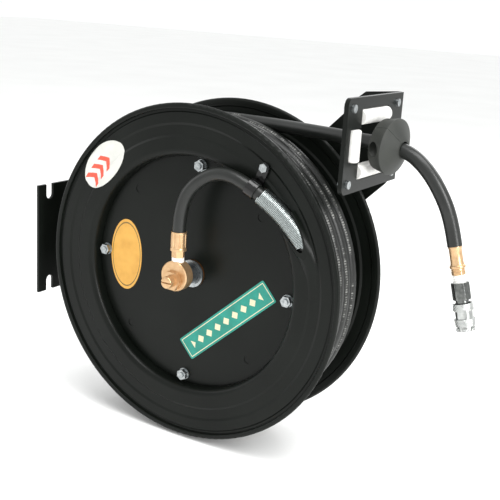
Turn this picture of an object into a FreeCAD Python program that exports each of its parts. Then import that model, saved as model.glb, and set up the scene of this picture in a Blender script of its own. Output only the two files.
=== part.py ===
import FreeCAD, Part
import math
import os
import Sketcher

# Hose reel with a spring rewind, held on a wall by its bracket.
# Millimetres. X points out from the wall, Y runs along the drum's shaft from its front to its back, Z is up.
# The origin is the middle of the bracket's wall face. Most pieces are drawn in the drum's own frame, which
# starts where the shaft's axis meets the plane of the front rim.

V = FreeCAD.Vector
os.makedirs("parts", exist_ok=True)
doc = FreeCAD.newDocument("hose_reel")

SIZES = {
    # where the drum stands
    "axis_reach": 264.0,
    "rim_setback": 79.0,
    # hose
    "hose_diameter": 17.5,
    "wound_radius": 199.25,
    "wound_gap": 0.5,
    "wound_quarters": 18,
    "wound_first_setback": 16.6,
    # wall bracket
    "bracket_steel": 4.0,
    "bracket_bend": 6.0,
    "wall_plate_height": 160.0,
    "wall_plate_width": 150.0,
    "wall_bolts_across": 105.0,
    "wall_bolts_up": 130.0,
    "wall_slot_width": 14.0,
    "bracket_hub_radius": 62.0,
    # guide arm and its head
    "arm_steel": 3.0,
    "arm_strip_above": 55.2,
    "arm_strip_below": 50.9,
    "arm_hub_radius": 60.0,
    "arm_bolt_circle": 45.0,
    "arm_bolt_diameter": 8.0,
    "arm_bolt_head": 5.3,
    "arm_bolt_turn": 45.0,
    "head_reach": 221.0,
    "head_setback": 62.4,
    "head_near": 76.4,
    "head_height": 110.5,
    "head_tab": 61.0,
    "head_heel": 14.2,
    "head_corner": 9.0,
    "front_plate_steel": 2.5,
    "window_across": 75.0,
    "window_tall": 83.4,
    "window_side_across": 130.0,
    "window_side_tall": 38.4,
    # rollers
    "roller_diameter": 18.0,
    "roller_chamfer": 1.5,
    "roller_pin_diameter": 4.0,
    "roller_pin_overlap": 8.0,
    "roller_up": 32.0,
    "roller_side": 51.5,
    "roller_end_play": 0.5,
    "plate_screw_diameter": 5.0,
    "plate_screws_across": 127.8,
    "plate_screws_up": 87.0,
    "plate_screw_head": 9.6,
    "plate_screw_head_height": 3.2,
    "plate_nut_across": 8.0,
    "plate_nut_height": 4.0,
    # flanges
    "rim_radius": 225.0,
    "rim_spacing": 126.0,
    "flange_steel": 1.5,
    "face_setback": 3.0,
    "lip_width": 7.0,
    "lip_depth": 6.5,
    "groove_width": 3.5,
    "groove_depth": 1.2,
    "band_outer": 200.0,
    "band_inner": 184.5,
    "band_ramp": 3.0,
    "band_depth": 1.4,
    "recess_radius": 157.5,
    "recess_depth": 22.5,
    "recess_opening": 130.0,
    "shoulder_radius": 8.5,
    "drain_hole_radius": 195.5,
    "drain_hole_diameter": 4.0,
    # core, cover and spring case
    "core_radius": 175.0,
    "core_wall": 1.5,
    "inner_layer_radius": 190.2,
    "seat_gap": 0.3,
    "cover_radius": 155.5,
    "cover_steel": 1.5,
    "stud_circle": 145.5,
    "stud_diameter": 8.0,
    "stud_head_diameter": 15.0,
    "stud_head_height": 4.0,
    "nut_across": 13.0,
    "nut_height": 6.5,
    "tooth_washer_diameter": 16.0,
    "tooth_washer_steel": 1.2,
    "thread_beyond_nut": 2.0,
    "bolt_clearance": 0.2,
    "weld_circle": 136.0,
    "weld_dimple_diameter": 11.0,
    "weld_dimple_depth": 0.7,
    "case_radius": 126.5,
    "case_flange_radius": 152.5,
    "case_steel": 1.5,
    # power spring and arbor
    "arbor_radius": 22.0,
    "arbor_length": 63.0,
    "arbor_key": 6.0,
    "arbor_setback": 10.5,
    "spring_strip": 1.2,
    "spring_width": 60.0,
    "spring_half_turns": 14,
    # shaft and bushings
    "shaft_radius": 12.5,
    "shaft_bore": 6.0,
    "shaft_front_radius": 11.0,
    "shaft_collar": 22.0,
    "shaft_collar_length": 6.0,
    "running_clearance": 0.05,
    "bushing_radius": 16.5,
    "bushing_flange": 18.5,
    "bushing_flange_steel": 2.5,
    "bushing_length": 12.0,
    "hub_washer_steel": 2.0,
    "ring_steel": 1.5,
    "ring_groove_depth": 1.2,
    "ring_radius": 15.0,
    "nose_radius": 9.0,
    "nose_bore": 4.0,
    "nose_setback": 2.0,
    "seal_wire": 2.0,
    "seal_spacing": 7.4,
    "rear_nut_across": 36.0,
    "rear_nut_height": 12.0,
    "rear_washer_radius": 22.0,
    "rear_washer_steel": 3.0,
    "rear_thread": 6.0,
    "inlet_radius": 7.5,
    "inlet_depth": 14.0,
    # ratchet
    "wheel_radius": 52.0,
    "wheel_root": 46.0,
    "wheel_teeth": 8,
    "wheel_thickness": 6.0,
    "wheel_sleeve": 24.0,
    "wheel_foot_radius": 42.0,
    "wheel_foot_height": 4.0,
    "wheel_standoff": 6.3,
    "pawl_distance": 84.0,
    "pawl_angle": 20.0,
    "pawl_pivot_diameter": 8.0,
    "pawl_length": 36.0,
    "pawl_parked": 30.0,
    "pawl_tip": 6.0,
    "pawl_side_gap": 0.5,
    "pivot_head_height": 4.0,
    "pawl_spring_wire": 0.9,
    "pawl_spring_curls": 3,
    "pawl_hub_radius": 9.0,
    # swivel
    "swivel_setback": -7.0,
    "swivel_radius": 20.0,
    "swivel_length": 16.0,
    "swivel_chamfer": 1.0,
    "port_setback": -14.5,
    "plug_hex_across": 23.0,
    "plug_hex_height": 6.0,
    "plug_radius": 8.0,
    "plug_length": 17.0,
    "plug_round": 2.0,
    "plug_slot_width": 2.0,
    "plug_slot_depth": 3.0,
    "thread_radius": 6.5,
    "stub_engagement": 7.5,
    "tape_height": 9.5,
    "tape_thickness": 1.6,
    # hose ends
    "ferrule_radius": 10.0,
    "ferrule_length": 25.0,
    "ferrule_collar": 0.6,
    "ferrule_collar_length": 3.0,
    "ferrule_flutes": 8,
    "ferrule_flute": 1.6,
    "stem_hex_across": 15.0,
    "stem_hex_height": 8.5,
    "stem_bore": 3.5,
    "stem_tail_radius": 5.0,
    "outlet_ferrule_radius": 8.4,
    "outlet_ferrule_length": 29.0,
    "outlet_stem_hex_height": 7.5,
    "outlet_tape_height": 5.5,
    # guard and clip
    "guard_wire": 1.5,
    "guard_pitch": 4.0,
    "guard_curls": 20,
    "guard_start": 170.6,
    "hose_way_gap": 0.75,
    "opening_gap": 1.4,
    "hood_steel": 1.8,
    "hood_height": 4.0,
    "hood_start": 40.0,
    "clip_along": 158.1,
    "clip_angle": 55.3,
    "clip_width": 13.0,
    "clip_band": 1.2,
    "clip_hose_gap": 0.4,
    "clip_screw_radius": 194.0,
    "clip_screw_diameter": 6.0,
    # ball stop
    "ball_along": 227.8,
    "ball_radius": 35.0,
    "ball_thickness": 22.0,
    "ball_round": 4.5,
    "ball_boss_radius": 14.0,
    "ball_boss_length": 5.0,
    "ball_split": 0.3,
    "ball_screw_diameter": 5.0,
    "ball_screw_offset": 20.0,
    "ball_pocket_radius": 6.0,
    "ball_web": 16.0,
    # coupler
    "coupler_hex_across": 17.0,
    "coupler_hex_length": 20.0,
    "coupler_tube_radius": 7.7,
    "coupler_nose_radius": 11.0,
    "coupler_nose_length": 5.0,
    "coupler_thread_depth": 10.0,
    "socket_depth": 17.0,
    "socket_radius": 5.6,
    "sleeve_radius": 11.6,
    "sleeve_length": 25.5,
    "sleeve_travel": 4.0,
    "sleeve_groove": 3.0,
    "sleeve_groove_depth": 0.8,
    "sleeve_wall": 1.5,
    "sleeve_back_gap": 2.0,
    "sleeve_spring_room": 9.5,
    "sleeve_spring_wire": 0.9,
    "sleeve_spring_curls": 4,
    "lock_ball_diameter": 3.0,
    "lock_ball_setback": 4.0,
    "valve_seat_length": 3.0,
    "valve_stem_radius": 2.5,
    "valve_head_length": 2.5,
    "valve_setback": 0.5,
    "valve_room": 3.0,
    "valve_spring_curls": 4,
}

sheet = doc.addObject("Spreadsheet::Sheet", "sizes")
for row, (alias, number) in enumerate(SIZES.items(), start=1):
    sheet.set(f"A{row}", alias.replace("_", " "))
    sheet.set(f"B{row}", str(number))
    sheet.setAlias(f"B{row}", alias)
doc.recompute()


class Size:
    # a number that remembers the sheet cells that it comes from
    def __init__(self, value, text):
        self.value = float(value)
        self.text = text

    def __add__(self, other):
        other = as_size(other)
        return Size(self.value + other.value, f"({self.text} + {other.text})")

    def __sub__(self, other):
        other = as_size(other)
        return Size(self.value - other.value, f"({self.text} - {other.text})")

    def __mul__(self, other):
        other = as_size(other)
        return Size(self.value * other.value, f"({self.text} * {other.text})")

    def __truediv__(self, other):
        other = as_size(other)
        return Size(self.value / other.value, f"({self.text} / {other.text})")

    def __neg__(self):
        return Size(-self.value, f"(0 - {self.text})")

    __radd__ = __add__
    __rmul__ = __mul__

    def __rsub__(self, other):
        return as_size(other) - self


def as_size(number):
    if isinstance(number, Size):
        return number
    return Size(number, f"({float(number):.6f})")


def cell(alias):
    return Size(getattr(sheet, alias), f"sizes.{alias}")


made = []
hose_radius = cell("hose_diameter") / 2
steel = cell("flange_steel")
running = cell("running_clearance")
seat = cell("seat_gap")


# sketches and features

def piece(name):
    body = doc.addObject("PartDesign::Body", name)
    body.Label = name
    made.append(body)
    return body


def helper(name):
    # a body that only cuts or joins another, so it isn't written
    body = doc.addObject("PartDesign::Body", name)
    body.Label = name
    return body


def sketch(body, role="XY_Plane", offset=None):
    drawn = body.newObject("Sketcher::SketchObject", f"{body.Name}_sketch")
    plane = [feature for feature in body.Origin.OriginFeatures if feature.Role == role][0]
    drawn.AttachmentSupport = [(plane, "")]
    drawn.MapMode = "FlatFace"
    if offset is not None:
        offset = as_size(offset)
        drawn.AttachmentOffset = FreeCAD.Placement(V(0, 0, offset.value), FreeCAD.Rotation())
        drawn.setExpression("AttachmentOffset.Base.z", offset.text)
    return drawn


def pin_point(drawn, index, end, across, up):
    # the point's distances from the sketch's origin, tied to the sheet
    for kind, number in (("DistanceX", as_size(across)), ("DistanceY", as_size(up))):
        made_at = drawn.addConstraint(Sketcher.Constraint(kind, -1, 1, index, end, number.value))
        drawn.setExpression(f"Constraints[{made_at}]", number.text)


def outline(drawn, points):
    points = [(as_size(across), as_size(up)) for across, up in points]
    count = len(points)
    first = drawn.GeometryCount
    for number in range(count):
        start = points[number]
        end = points[(number + 1) % count]
        line = Part.LineSegment(V(start[0].value, start[1].value, 0), V(end[0].value, end[1].value, 0))
        drawn.addGeometry(line, False)
    for number in range(count):
        following = first + (number + 1) % count
        drawn.addConstraint(Sketcher.Constraint("Coincident", first + number, 2, following, 1))
    for number, (across, up) in enumerate(points):
        pin_point(drawn, first + number, 1, across, up)


def round_hole(drawn, across, up, radius):
    across, up, radius = as_size(across), as_size(up), as_size(radius)
    centre = V(across.value, up.value, 0)
    index = drawn.addGeometry(Part.Circle(centre, V(0, 0, 1), radius.value), False)
    made_at = drawn.addConstraint(Sketcher.Constraint("Radius", index, radius.value))
    drawn.setExpression(f"Constraints[{made_at}]", radius.text)
    pin_point(drawn, index, 3, across, up)


def polygon(drawn, sides, across_flats, turn=0.0, across=0.0, up=0.0):
    far = as_size(across_flats) / (2 * math.cos(math.pi / sides))
    points = []
    for corner in range(sides):
        angle = math.radians(turn) + 2 * math.pi * corner / sides
        points.append((across + far * math.cos(angle), up + far * math.sin(angle)))
    outline(drawn, points)


def hexagon(drawn, across_flats, turn=0.0, across=0.0, up=0.0):
    polygon(drawn, 6, across_flats, turn, across, up)


def pad(body, drawn, length, back=False, centred=False):
    feature = body.newObject("PartDesign::Pad", f"{body.Name}_pad")
    feature.Profile = drawn
    length = as_size(length)
    feature.Length = length.value
    feature.setExpression("Length", length.text)
    feature.Reversed = back
    feature.Midplane = centred
    return feature


def pocket(body, drawn, length, back=False, centred=False):
    feature = body.newObject("PartDesign::Pocket", f"{body.Name}_pocket")
    feature.Profile = drawn
    length = as_size(length)
    feature.Length = length.value
    feature.setExpression("Length", length.text)
    feature.Reversed = back
    feature.Midplane = centred
    return feature


def spin(body, drawn):
    # a full turn about the Y axis
    feature = body.newObject("PartDesign::Revolution", f"{body.Name}_turned")
    feature.Profile = drawn
    feature.ReferenceAxis = (drawn, ["V_Axis"])
    feature.Angle = 360
    return feature


def turned(name, points, maker=piece):
    body = maker(name)
    drawn = sketch(body)
    outline(drawn, points)
    spin(body, drawn)
    return body


def tube_points(inner, outer, start, end):
    return [(inner, start), (outer, start), (outer, end), (inner, end)]


def polar(body, count, alias=None):
    # repeats the body's last feature round the Y axis
    feature = body.newObject("PartDesign::PolarPattern", f"{body.Name}_pattern")
    feature.Originals = [body.Tip]
    axis = [item for item in body.Origin.OriginFeatures if item.Role == "Y_Axis"][0]
    feature.Axis = (axis, [""])
    feature.Angle = 360
    feature.Occurrences = count
    if alias is not None:
        feature.setExpression("Occurrences", f"sizes.{alias}")
    body.Tip = feature
    return feature


def soften(body, radius, wanted, kind="Fillet"):
    # rounds or bevels the tip's edges that the test picks
    doc.recompute()
    tip = body.Tip
    names = []
    for number, edge in enumerate(tip.Shape.Edges, start=1):
        if wanted(edge):
            names.append(f"Edge{number}")
    feature = body.newObject(f"PartDesign::{kind}", f"{body.Name}_{kind.lower()}")
    feature.Base = (tip, names)
    radius = as_size(radius)
    field = "Radius" if kind == "Fillet" else "Size"
    setattr(feature, field, radius.value)
    feature.setExpression(field, radius.text)
    return feature


def ring_at(radius, height, near=0.01):
    # picks a circular edge about the Y axis
    def wanted(edge):
        if not isinstance(edge.Curve, Part.Circle):
            return False
        centre = edge.Curve.Center
        on_axis = abs(centre.x) < near and abs(centre.z) < near
        same = abs(edge.Curve.Radius - radius.value) < near and abs(centre.y - height.value) < near
        return on_axis and same
    return wanted


def any_of(*tests):
    return lambda edge: any(test(edge) for test in tests)


def in_drum_frame(body, setback=0.0, reach=0.0, height=0.0):
    # the drum's frame, or a point given in it
    across = cell("axis_reach") + reach
    along = as_size(setback) - cell("rim_setback")
    up = as_size(height)
    body.Placement = FreeCAD.Placement(V(across.value, along.value, up.value), FreeCAD.Rotation())
    body.setExpression("Placement.Base.x", across.text)
    body.setExpression("Placement.Base.y", along.text)
    body.setExpression("Placement.Base.z", up.text)


def drum_point(point):
    return V(point[0] + sheet.axis_reach, point[1] - sheet.rim_setback, point[2])


def turn_to(direction, about_y=0.0):
    # the rotation that lays a piece's Y axis along a direction, after a turn about that axis
    lay = FreeCAD.Rotation(V(0, 1, 0), V(*direction))
    return lay.multiply(FreeCAD.Rotation(V(0, 1, 0), about_y))


def feature_from(name, shape):
    part = doc.addObject("Part::Feature", name)
    part.Label = name
    part.Shape = shape
    part.Placement = FreeCAD.Placement(drum_point((0, 0, 0)), FreeCAD.Rotation())
    made.append(part)
    return part


def boolean(kind, name, base, tool):
    part = doc.addObject(f"Part::{kind}", name)
    part.Label = name
    part.Base = base
    part.Tool = tool
    return part


def hose_path(points, name):
    # straight runs joined by tangent arcs, each as large as its two runs allow
    points = [V(*point) for point in points]
    edges = []
    start = points[0]
    radii = []
    for before, corner, after in zip(points, points[1:], points[2:]):
        way_in = (corner - before).normalize()
        way_out = (after - corner).normalize()
        half = way_in.getAngle(way_out) / 2
        shorter = min((corner - before).Length, (after - corner).Length)
        radius = 0.45 * shorter / math.tan(half)
        reach = radius * math.tan(half)
        arc_start = corner - way_in * reach
        arc_end = corner + way_out * reach
        inward = (way_out - way_in).normalize()
        middle = corner + inward * (radius / math.cos(half) - radius)
        edges.append(Part.LineSegment(start, arc_start).toShape())
        edges.append(Part.Arc(arc_start, middle, arc_end).toShape())
        radii.append(round(radius))
        start = arc_end
    edges.append(Part.LineSegment(start, points[-1]).toShape())
    print(name, "arc radii in mm:", radii)
    return Part.Wire(edges)


def hose_solid(path, radius, name):
    start = path.Edges[0].valueAt(path.Edges[0].FirstParameter)
    way = path.Edges[0].tangentAt(path.Edges[0].FirstParameter)
    section = Part.Wire(Part.Circle(start, way, radius).toShape())
    solid = path.makePipeShell([section], True, False)
    expected = math.pi * radius ** 2 * path.Length
    print(name, "volume over section times length:", round(solid.Volume / expected, 4))
    return solid


def biarc(start, way_in, end, way_out):
    # two arcs that leave and arrive along the given tangents
    chord = end - start
    both = way_in + way_out
    flat = 2 * (1 - way_in.dot(way_out))
    slope = 2 * chord.dot(both)
    length = chord.dot(chord)
    if flat < 1e-9:
        reach = length / slope
    else:
        reach = (-slope + math.sqrt(slope ** 2 + 4 * flat * length)) / (2 * flat)
    first = start + way_in * reach
    second = end - way_out * reach
    meeting = (first + second) * 0.5
    edges = []
    for near, control, far in ((start, first, meeting), (meeting, second, end)):
        weight = (far - near).Length / (2 * reach)
        middle = (near + control * (2 * weight) + far) * (1 / (2 + 2 * weight))
        edges.append(Part.Arc(near, middle, far).toShape())
    return edges


def least_self_gap(points, thickness, per_turn):
    least = 1e9
    for number, point in enumerate(points):
        for other in points[number + per_turn // 2:]:
            least = min(least, point.distanceToPoint(other))
    return least - thickness


# flanges, which are the same pressing apart from the middle and the hose's opening

def flange_points(at, middle_radius):
    # at() turns a depth behind the rim's plane into a place along the shaft
    rim = cell("rim_radius")
    face = cell("face_setback")
    lip = rim - cell("lip_width")
    groove = lip - cell("groove_width")
    groove_face = face + cell("groove_depth")
    ramp = cell("band_ramp")
    low = face + cell("band_depth")
    outer = cell("band_outer")
    inner = cell("band_inner")
    recess = cell("recess_radius")
    floor = cell("recess_depth")
    front = [
        (rim, at(as_size(0))),
        (lip, at(as_size(0))),
        (lip, at(groove_face)),
        (groove, at(groove_face)),
        (groove - groove_ramp, at(face)),
        (outer, at(face)),
        (outer - ramp, at(low)),
        (inner, at(low)),
        (inner - ramp, at(face)),
        (recess, at(face)),
        (recess, at(floor)),
        (middle_radius, at(floor)),
    ]
    back = [
        (middle_radius, at(floor + steel)),
        (recess + steel, at(floor + steel)),
        (recess + steel, at(face + steel)),
        (inner - ramp, at(face + steel)),
        (inner, at(low + steel)),
        (outer - ramp, at(low + steel)),
        (outer, at(face + steel)),
        (groove - groove_ramp, at(face + steel)),
        (groove, at(groove_face + steel)),
        (lip, at(groove_face + steel)),
        (lip, at(cell("lip_depth"))),
        (rim, at(cell("lip_depth"))),
    ]
    return front + back


groove_ramp = cell("band_ramp") / 2


def round_flange(body, at):
    recess = cell("recess_radius")
    face = cell("face_setback")
    shoulder = cell("shoulder_radius")
    rim = cell("rim_radius")
    soften(body, shoulder, ring_at(recess, at(face)))
    soften(body, shoulder - steel, ring_at(recess + steel, at(face + steel)))
    ends = any_of(ring_at(rim, at(as_size(0))), ring_at(rim, at(cell("lip_depth"))))
    soften(body, cell("lip_depth") / 2 - 0.1, ends)
    soften(body, cell("lip_width") / 4, ring_at(rim - cell("lip_width"), at(as_size(0))))


def from_front(depth):
    return depth


def from_back(depth):
    return cell("rim_spacing") - depth


# Places along the shaft, measured behind the front rim's plane.
face = cell("face_setback")
floor_front = cell("recess_depth")
floor_back = floor_front + steel
cover_front = floor_front - cell("cover_steel")
rear_floor = cell("rim_spacing") - floor_front
bracket_face = cell("rim_setback") + cell("wall_plate_width") / 2 - cell("bracket_steel")
bracket_back = bracket_face + cell("bracket_steel")
arm_face = bracket_face - cell("arm_steel")
wheel_back = arm_face - cell("wheel_standoff")
wheel_front = wheel_back - cell("wheel_thickness")

# Heights over the shaft on the swivel's port.
port = cell("port_setback")
stub_bottom = cell("swivel_radius") - cell("stub_engagement")
hex_bottom = cell("swivel_radius") + cell("tape_height")
hex_top = hex_bottom + cell("stem_hex_height")
ferrule_bottom = hex_top + seat
ferrule_top = ferrule_bottom + cell("ferrule_length")


def box_along(start, direction, reach, across):
    # a block that begins square to a direction at a point
    block = Part.makeBox(across, reach, across, V(-across / 2, 0, -across / 2))
    block.Placement = FreeCAD.Placement(start, FreeCAD.Rotation(V(0, 1, 0), direction))
    return block


def place_on(path, distance):
    # the point and the direction at a distance along a path
    for edge in path.Edges:
        if distance <= edge.Length:
            at = edge.getParameterByLength(distance)
            return edge.valueAt(at), edge.tangentAt(at).normalize()
        distance -= edge.Length
    return edge.valueAt(edge.LastParameter), edge.tangentAt(edge.LastParameter).normalize()


def coil_solid(point_at, turns, step, wire, name, first_way=None, last_way=None, lead=0.0, round_wire=False):
    # a wire along point_at, which takes a number of turns
    def way_at(turn):
        return (point_at(turn + 1e-4) - point_at(turn - 1e-4)).normalize()

    count = int(round(turns / step))
    edges = []
    start = point_at(0.0)
    way = first_way if first_way is not None else way_at(0.0)
    if lead > 0:
        edges.append(Part.LineSegment(start - way * lead, start).toShape())
    for number in range(count):
        end = point_at((number + 1) * step)
        last = number == count - 1
        way_out = last_way if last and last_way is not None else way_at((number + 1) * step)
        edges += biarc(start, way, end, way_out)
        start = end
        way = way_out
    if lead > 0:
        edges.append(Part.LineSegment(start, start + way * lead).toShape())
    path = Part.Wire(edges)
    begin = edges[0].valueAt(edges[0].FirstParameter)
    way = edges[0].tangentAt(edges[0].FirstParameter).normalize()
    if round_wire:
        section = Part.Wire(Part.Circle(begin, way, wire / 2).toShape())
        area = math.pi * wire ** 2 / 4
    else:
        section = square_section(begin, way, wire)
        area = wire ** 2
    solid = path.makePipeShell([section], True, False)
    per_turn = 48
    points = [point_at(number / per_turn) for number in range(int(turns * per_turn) + 1)]
    print(name, "least gap between turns in mm:", round(least_self_gap(points, wire, per_turn), 3))
    print(name, "volume over section times length:", round(solid.Volume / (area * path.Length), 4))
    return solid


def square_section(centre, way, side):
    lean = V(0, 1, 0) if abs(way.y) < 0.7 else V(0, 0, 1)
    across = way.cross(lean).normalize()
    up = across.cross(way).normalize()
    corners = []
    for right, over in ((-1, -1), (1, -1), (1, 1), (-1, 1)):
        corners.append(centre + across * (right * side / 2) + up * (over * side / 2))
    return Part.makePolygon(corners + corners[:1])


def straight_coil(name, radius, pitch, turns, wire, start):
    # a spring about its own Y axis, with square wire
    def point_at(turn):
        angle = 2 * math.pi * turn
        return V(radius * math.cos(angle), start + pitch * turn, radius * math.sin(angle))

    return coil_solid(point_at, turns, 0.5, wire, name)


# Hose on the drum.

jumper_route = [
    (0.0, port.value, ferrule_top.value),
    (0.0, port.value, ferrule_top.value + 32.7),
    (19.0, -13.5, 130.0),
    (58.0, -11.0, 150.5),
    (105.0, -9.3, 133.5),
    (150.0, 3.5, 98.0),
    (181.0, 16.0, 47.0),
    (186.5, 17.0, 8.0),
]
jumper_path = hose_path(jumper_route, "jumper hose")
feature_from("jumper_hose", hose_solid(jumper_path, hose_radius.value, "jumper hose"))

pitch = sheet.hose_diameter + sheet.wound_gap
wound_turns = sheet.wound_quarters / 4


def wound_point(turn):
    # clockwise from the bottom, as seen from the front
    angle = math.radians(-90 - 360 * turn)
    setback = sheet.wound_first_setback + pitch * turn
    return V(sheet.wound_radius * math.cos(angle), setback, sheet.wound_radius * math.sin(angle))


wound = coil_solid(
    wound_point,
    wound_turns,
    0.25,
    sheet.hose_diameter,
    "wound hose",
    V(-1, 0, 0),
    V(1, 0, 0),
    sheet.hose_diameter,
    True,
)
feature_from("wound_hose", wound)

inner_layer = turned(
    "inner_layer_sleeve",
    tube_points(
        cell("core_radius") + seat,
        cell("inner_layer_radius"),
        face + steel + cell("band_depth") + seat,
        cell("rim_spacing") - face - steel - cell("band_depth") - seat,
    ),
    helper,
)
core_tube = turned(
    "core_tube",
    tube_points(
        cell("core_radius") - cell("core_wall"),
        cell("core_radius"),
        face + steel,
        cell("rim_spacing") - face - steel,
    ),
    helper,
)

# Spring guard on the jumper hose, and the ways that hose and guard need through the drum.

guard_radius = hose_radius.value + sheet.seat_gap + sheet.guard_wire * 0.75
guard_length = sheet.guard_pitch * sheet.guard_curls
opening_radius = guard_radius + sheet.guard_wire / 2 + sheet.opening_gap


def guard_point(turn):
    centre, way = place_on(jumper_path, sheet.guard_start + sheet.guard_pitch * turn)
    outward = (V(0, 1, 0) - way * way.y).normalize()
    across = way.cross(outward)
    angle = 2 * math.pi * turn
    return centre + outward * (guard_radius * math.cos(angle)) + across * (guard_radius * math.sin(angle))


guard = coil_solid(guard_point, sheet.guard_curls, 0.5, sheet.guard_wire, "hose guard")
feature_from("hose_guard", guard)

opening_way = hose_solid(jumper_path, opening_radius, "opening in the flange")
guard_end, guard_way = place_on(jumper_path, sheet.guard_start + guard_length + 4)
past_guard = box_along(guard_end, guard_way, 200, 200)
near_way = doc.addObject("Part::Feature", "way_of_the_guard")
near_way.Shape = opening_way.cut(past_guard)
flange_way = doc.addObject("Part::Feature", "way_through_the_flange")
flange_way.Shape = opening_way
hose_way = doc.addObject("Part::Feature", "way_of_the_hose")
hose_way.Shape = hose_solid(jumper_path, hose_radius.value + sheet.hose_way_gap, "way of the hose")

core_cut = boolean("Cut", "core_with_opening", core_tube, near_way)
drum_core = boolean("Cut", "drum_core", core_cut, hose_way)
sleeve_cut = boolean("Cut", "inner_layer_with_opening", inner_layer, near_way)
hose_inner_layer = boolean("Cut", "hose_inner_layer", sleeve_cut, hose_way)

# Flanges.


def stud_holes(body, angle=-2.5):
    drawn = sketch(body, "XZ_Plane")
    circle = cell("stud_circle")
    across = circle * math.cos(math.radians(angle))
    up = circle * math.sin(math.radians(angle))
    round_hole(drawn, across, up, cell("stud_diameter") / 2 + cell("bolt_clearance"))
    pocket(body, drawn, cell("rim_spacing"))
    polar(body, 4)


front_disc = turned("front_flange_pressing", flange_points(from_front, cell("recess_opening")), helper)
round_flange(front_disc, from_front)
stud_holes(front_disc)
drawn = sketch(front_disc, "XZ_Plane")
drain = cell("drain_hole_radius")
drain_angle = math.radians(16.8)
round_hole(drawn, drain * math.cos(drain_angle), drain * math.sin(drain_angle), cell("drain_hole_diameter") / 2)
pocket(front_disc, drawn, cell("lip_width"))

hood_start, hood_way = place_on(jumper_path, sheet.guard_start + sheet.hood_start)
hood_slab = Part.makeBox(300, sheet.hood_height + sheet.flange_steel - sheet.running_clearance, 300)
hood_slab.translate(V(-20, sheet.face_setback - sheet.hood_height, -20))
hood_tube = hose_solid(jumper_path, opening_radius + sheet.hood_steel, "hood over the opening")
hood = doc.addObject("Part::Feature", "hood_over_the_opening")
hood.Shape = hood_tube.common(hood_slab).common(box_along(hood_start, hood_way, 200, 200))
hooded = boolean("Fuse", "front_flange_with_hood", front_disc, hood)
front_flange = boolean("Cut", "front_flange", hooded, flange_way)

back_flange = turned("back_flange", flange_points(from_back, cell("bushing_radius")))
round_flange(back_flange, from_back)

# Spring case, its cover and their bolts.

spring_cover = turned(
    "spring_cover", tube_points(cell("bushing_radius"), cell("cover_radius"), cover_front, floor_front)
)
stud_holes(spring_cover)
drawn = sketch(spring_cover, "XZ_Plane", -cover_front)
weld = cell("weld_circle")
weld_angle = math.radians(43)
weld_radius = cell("weld_dimple_diameter") / 2
round_hole(drawn, weld * math.cos(weld_angle), weld * math.sin(weld_angle), weld_radius)
pocket(spring_cover, drawn, cell("weld_dimple_depth"))
polar(spring_cover, 4)

case_bottom = rear_floor - steel - seat
case_wall = cell("case_steel")
spring_case = turned(
    "spring_case",
    [
        (cell("case_radius"), floor_back),
        (cell("case_flange_radius"), floor_back),
        (cell("case_flange_radius"), floor_back + case_wall),
        (cell("case_radius") + case_wall, floor_back + case_wall),
        (cell("case_radius") + case_wall, case_bottom),
        (cell("bushing_radius"), case_bottom),
        (cell("bushing_radius"), case_bottom - case_wall),
        (cell("case_radius"), case_bottom - case_wall),
    ],
)
stud_holes(spring_case)

washer_front = cover_front - cell("tooth_washer_steel")
nut_front = washer_front - cell("nut_height")
head_front = floor_back + case_wall


def stud_ring(name, sections, angle=-2.5):
    # pieces round the drum's bolts: each section is a kind, its size, its front and its back
    body = piece(name)
    circle = cell("stud_circle")
    across = circle * math.cos(math.radians(angle))
    up = circle * math.sin(math.radians(angle))
    for kind, size, bore, front, back in sections:
        drawn = sketch(body, "XZ_Plane", -back)
        if kind == "hex":
            hexagon(drawn, size, angle, across, up)
        else:
            round_hole(drawn, across, up, size)
        if bore is not None:
            round_hole(drawn, across, up, bore)
        pad(body, drawn, back - front)
    pattern = body.newObject("PartDesign::PolarPattern", f"{name}_pattern")
    pattern.Originals = [item for item in body.Group if item.TypeId == "PartDesign::Pad"]
    axis = [item for item in body.Origin.OriginFeatures if item.Role == "Y_Axis"][0]
    pattern.Axis = (axis, [""])
    pattern.Angle = 360
    pattern.Occurrences = 4
    body.Tip = pattern
    return body


stud_radius = cell("stud_diameter") / 2
stud_bore = stud_radius + running
cover_bolts = stud_ring(
    "cover_bolts",
    [
        ("round", cell("stud_head_diameter") / 2, None, head_front, head_front + cell("stud_head_height")),
        ("round", stud_radius, None, nut_front - cell("thread_beyond_nut"), head_front),
    ],
)
cover_washers = stud_ring(
    "cover_washers", [("round", cell("tooth_washer_diameter") / 2, stud_bore, washer_front, cover_front)]
)
cover_nuts = stud_ring("cover_nuts", [("hex", cell("nut_across"), stud_bore, nut_front, washer_front)])

# Power spring on its arbor.

arbor_front = cover_front + cell("arbor_setback")
arbor_back = arbor_front + cell("arbor_length")
spring_middle = arbor_front.value + sheet.arbor_length / 2
strip_inner = sheet.arbor_radius + sheet.seat_gap + sheet.spring_strip / 2
strip_outer = sheet.case_radius - sheet.seat_gap - sheet.spring_strip / 2
half_turns = int(sheet.spring_half_turns)
spread = (strip_outer - strip_inner) / half_turns
edges = []
for number in range(half_turns):
    side = 1 if number % 2 == 0 else -1
    radius = strip_inner + spread / 2 + spread * number
    middle = V(side * spread / 2, spring_middle, 0)
    begin = middle + V(-side * radius, 0, 0)
    over = middle + V(0, 0, side * radius)
    end = middle + V(side * radius, 0, 0)
    edges.append(Part.Arc(begin, over, end).toShape())
spring_path = Part.Wire(edges)
begin = edges[0].valueAt(edges[0].FirstParameter)
half_strip = sheet.spring_strip / 2
half_width = sheet.spring_width / 2
corners = []
for right, over in ((-1, -1), (1, -1), (1, 1), (-1, 1)):
    corners.append(begin + V(right * half_strip, over * half_width, 0))
strip_section = Part.makePolygon(corners + corners[:1])
feature_from("power_spring", spring_path.makePipeShell([strip_section], True, False))

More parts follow.
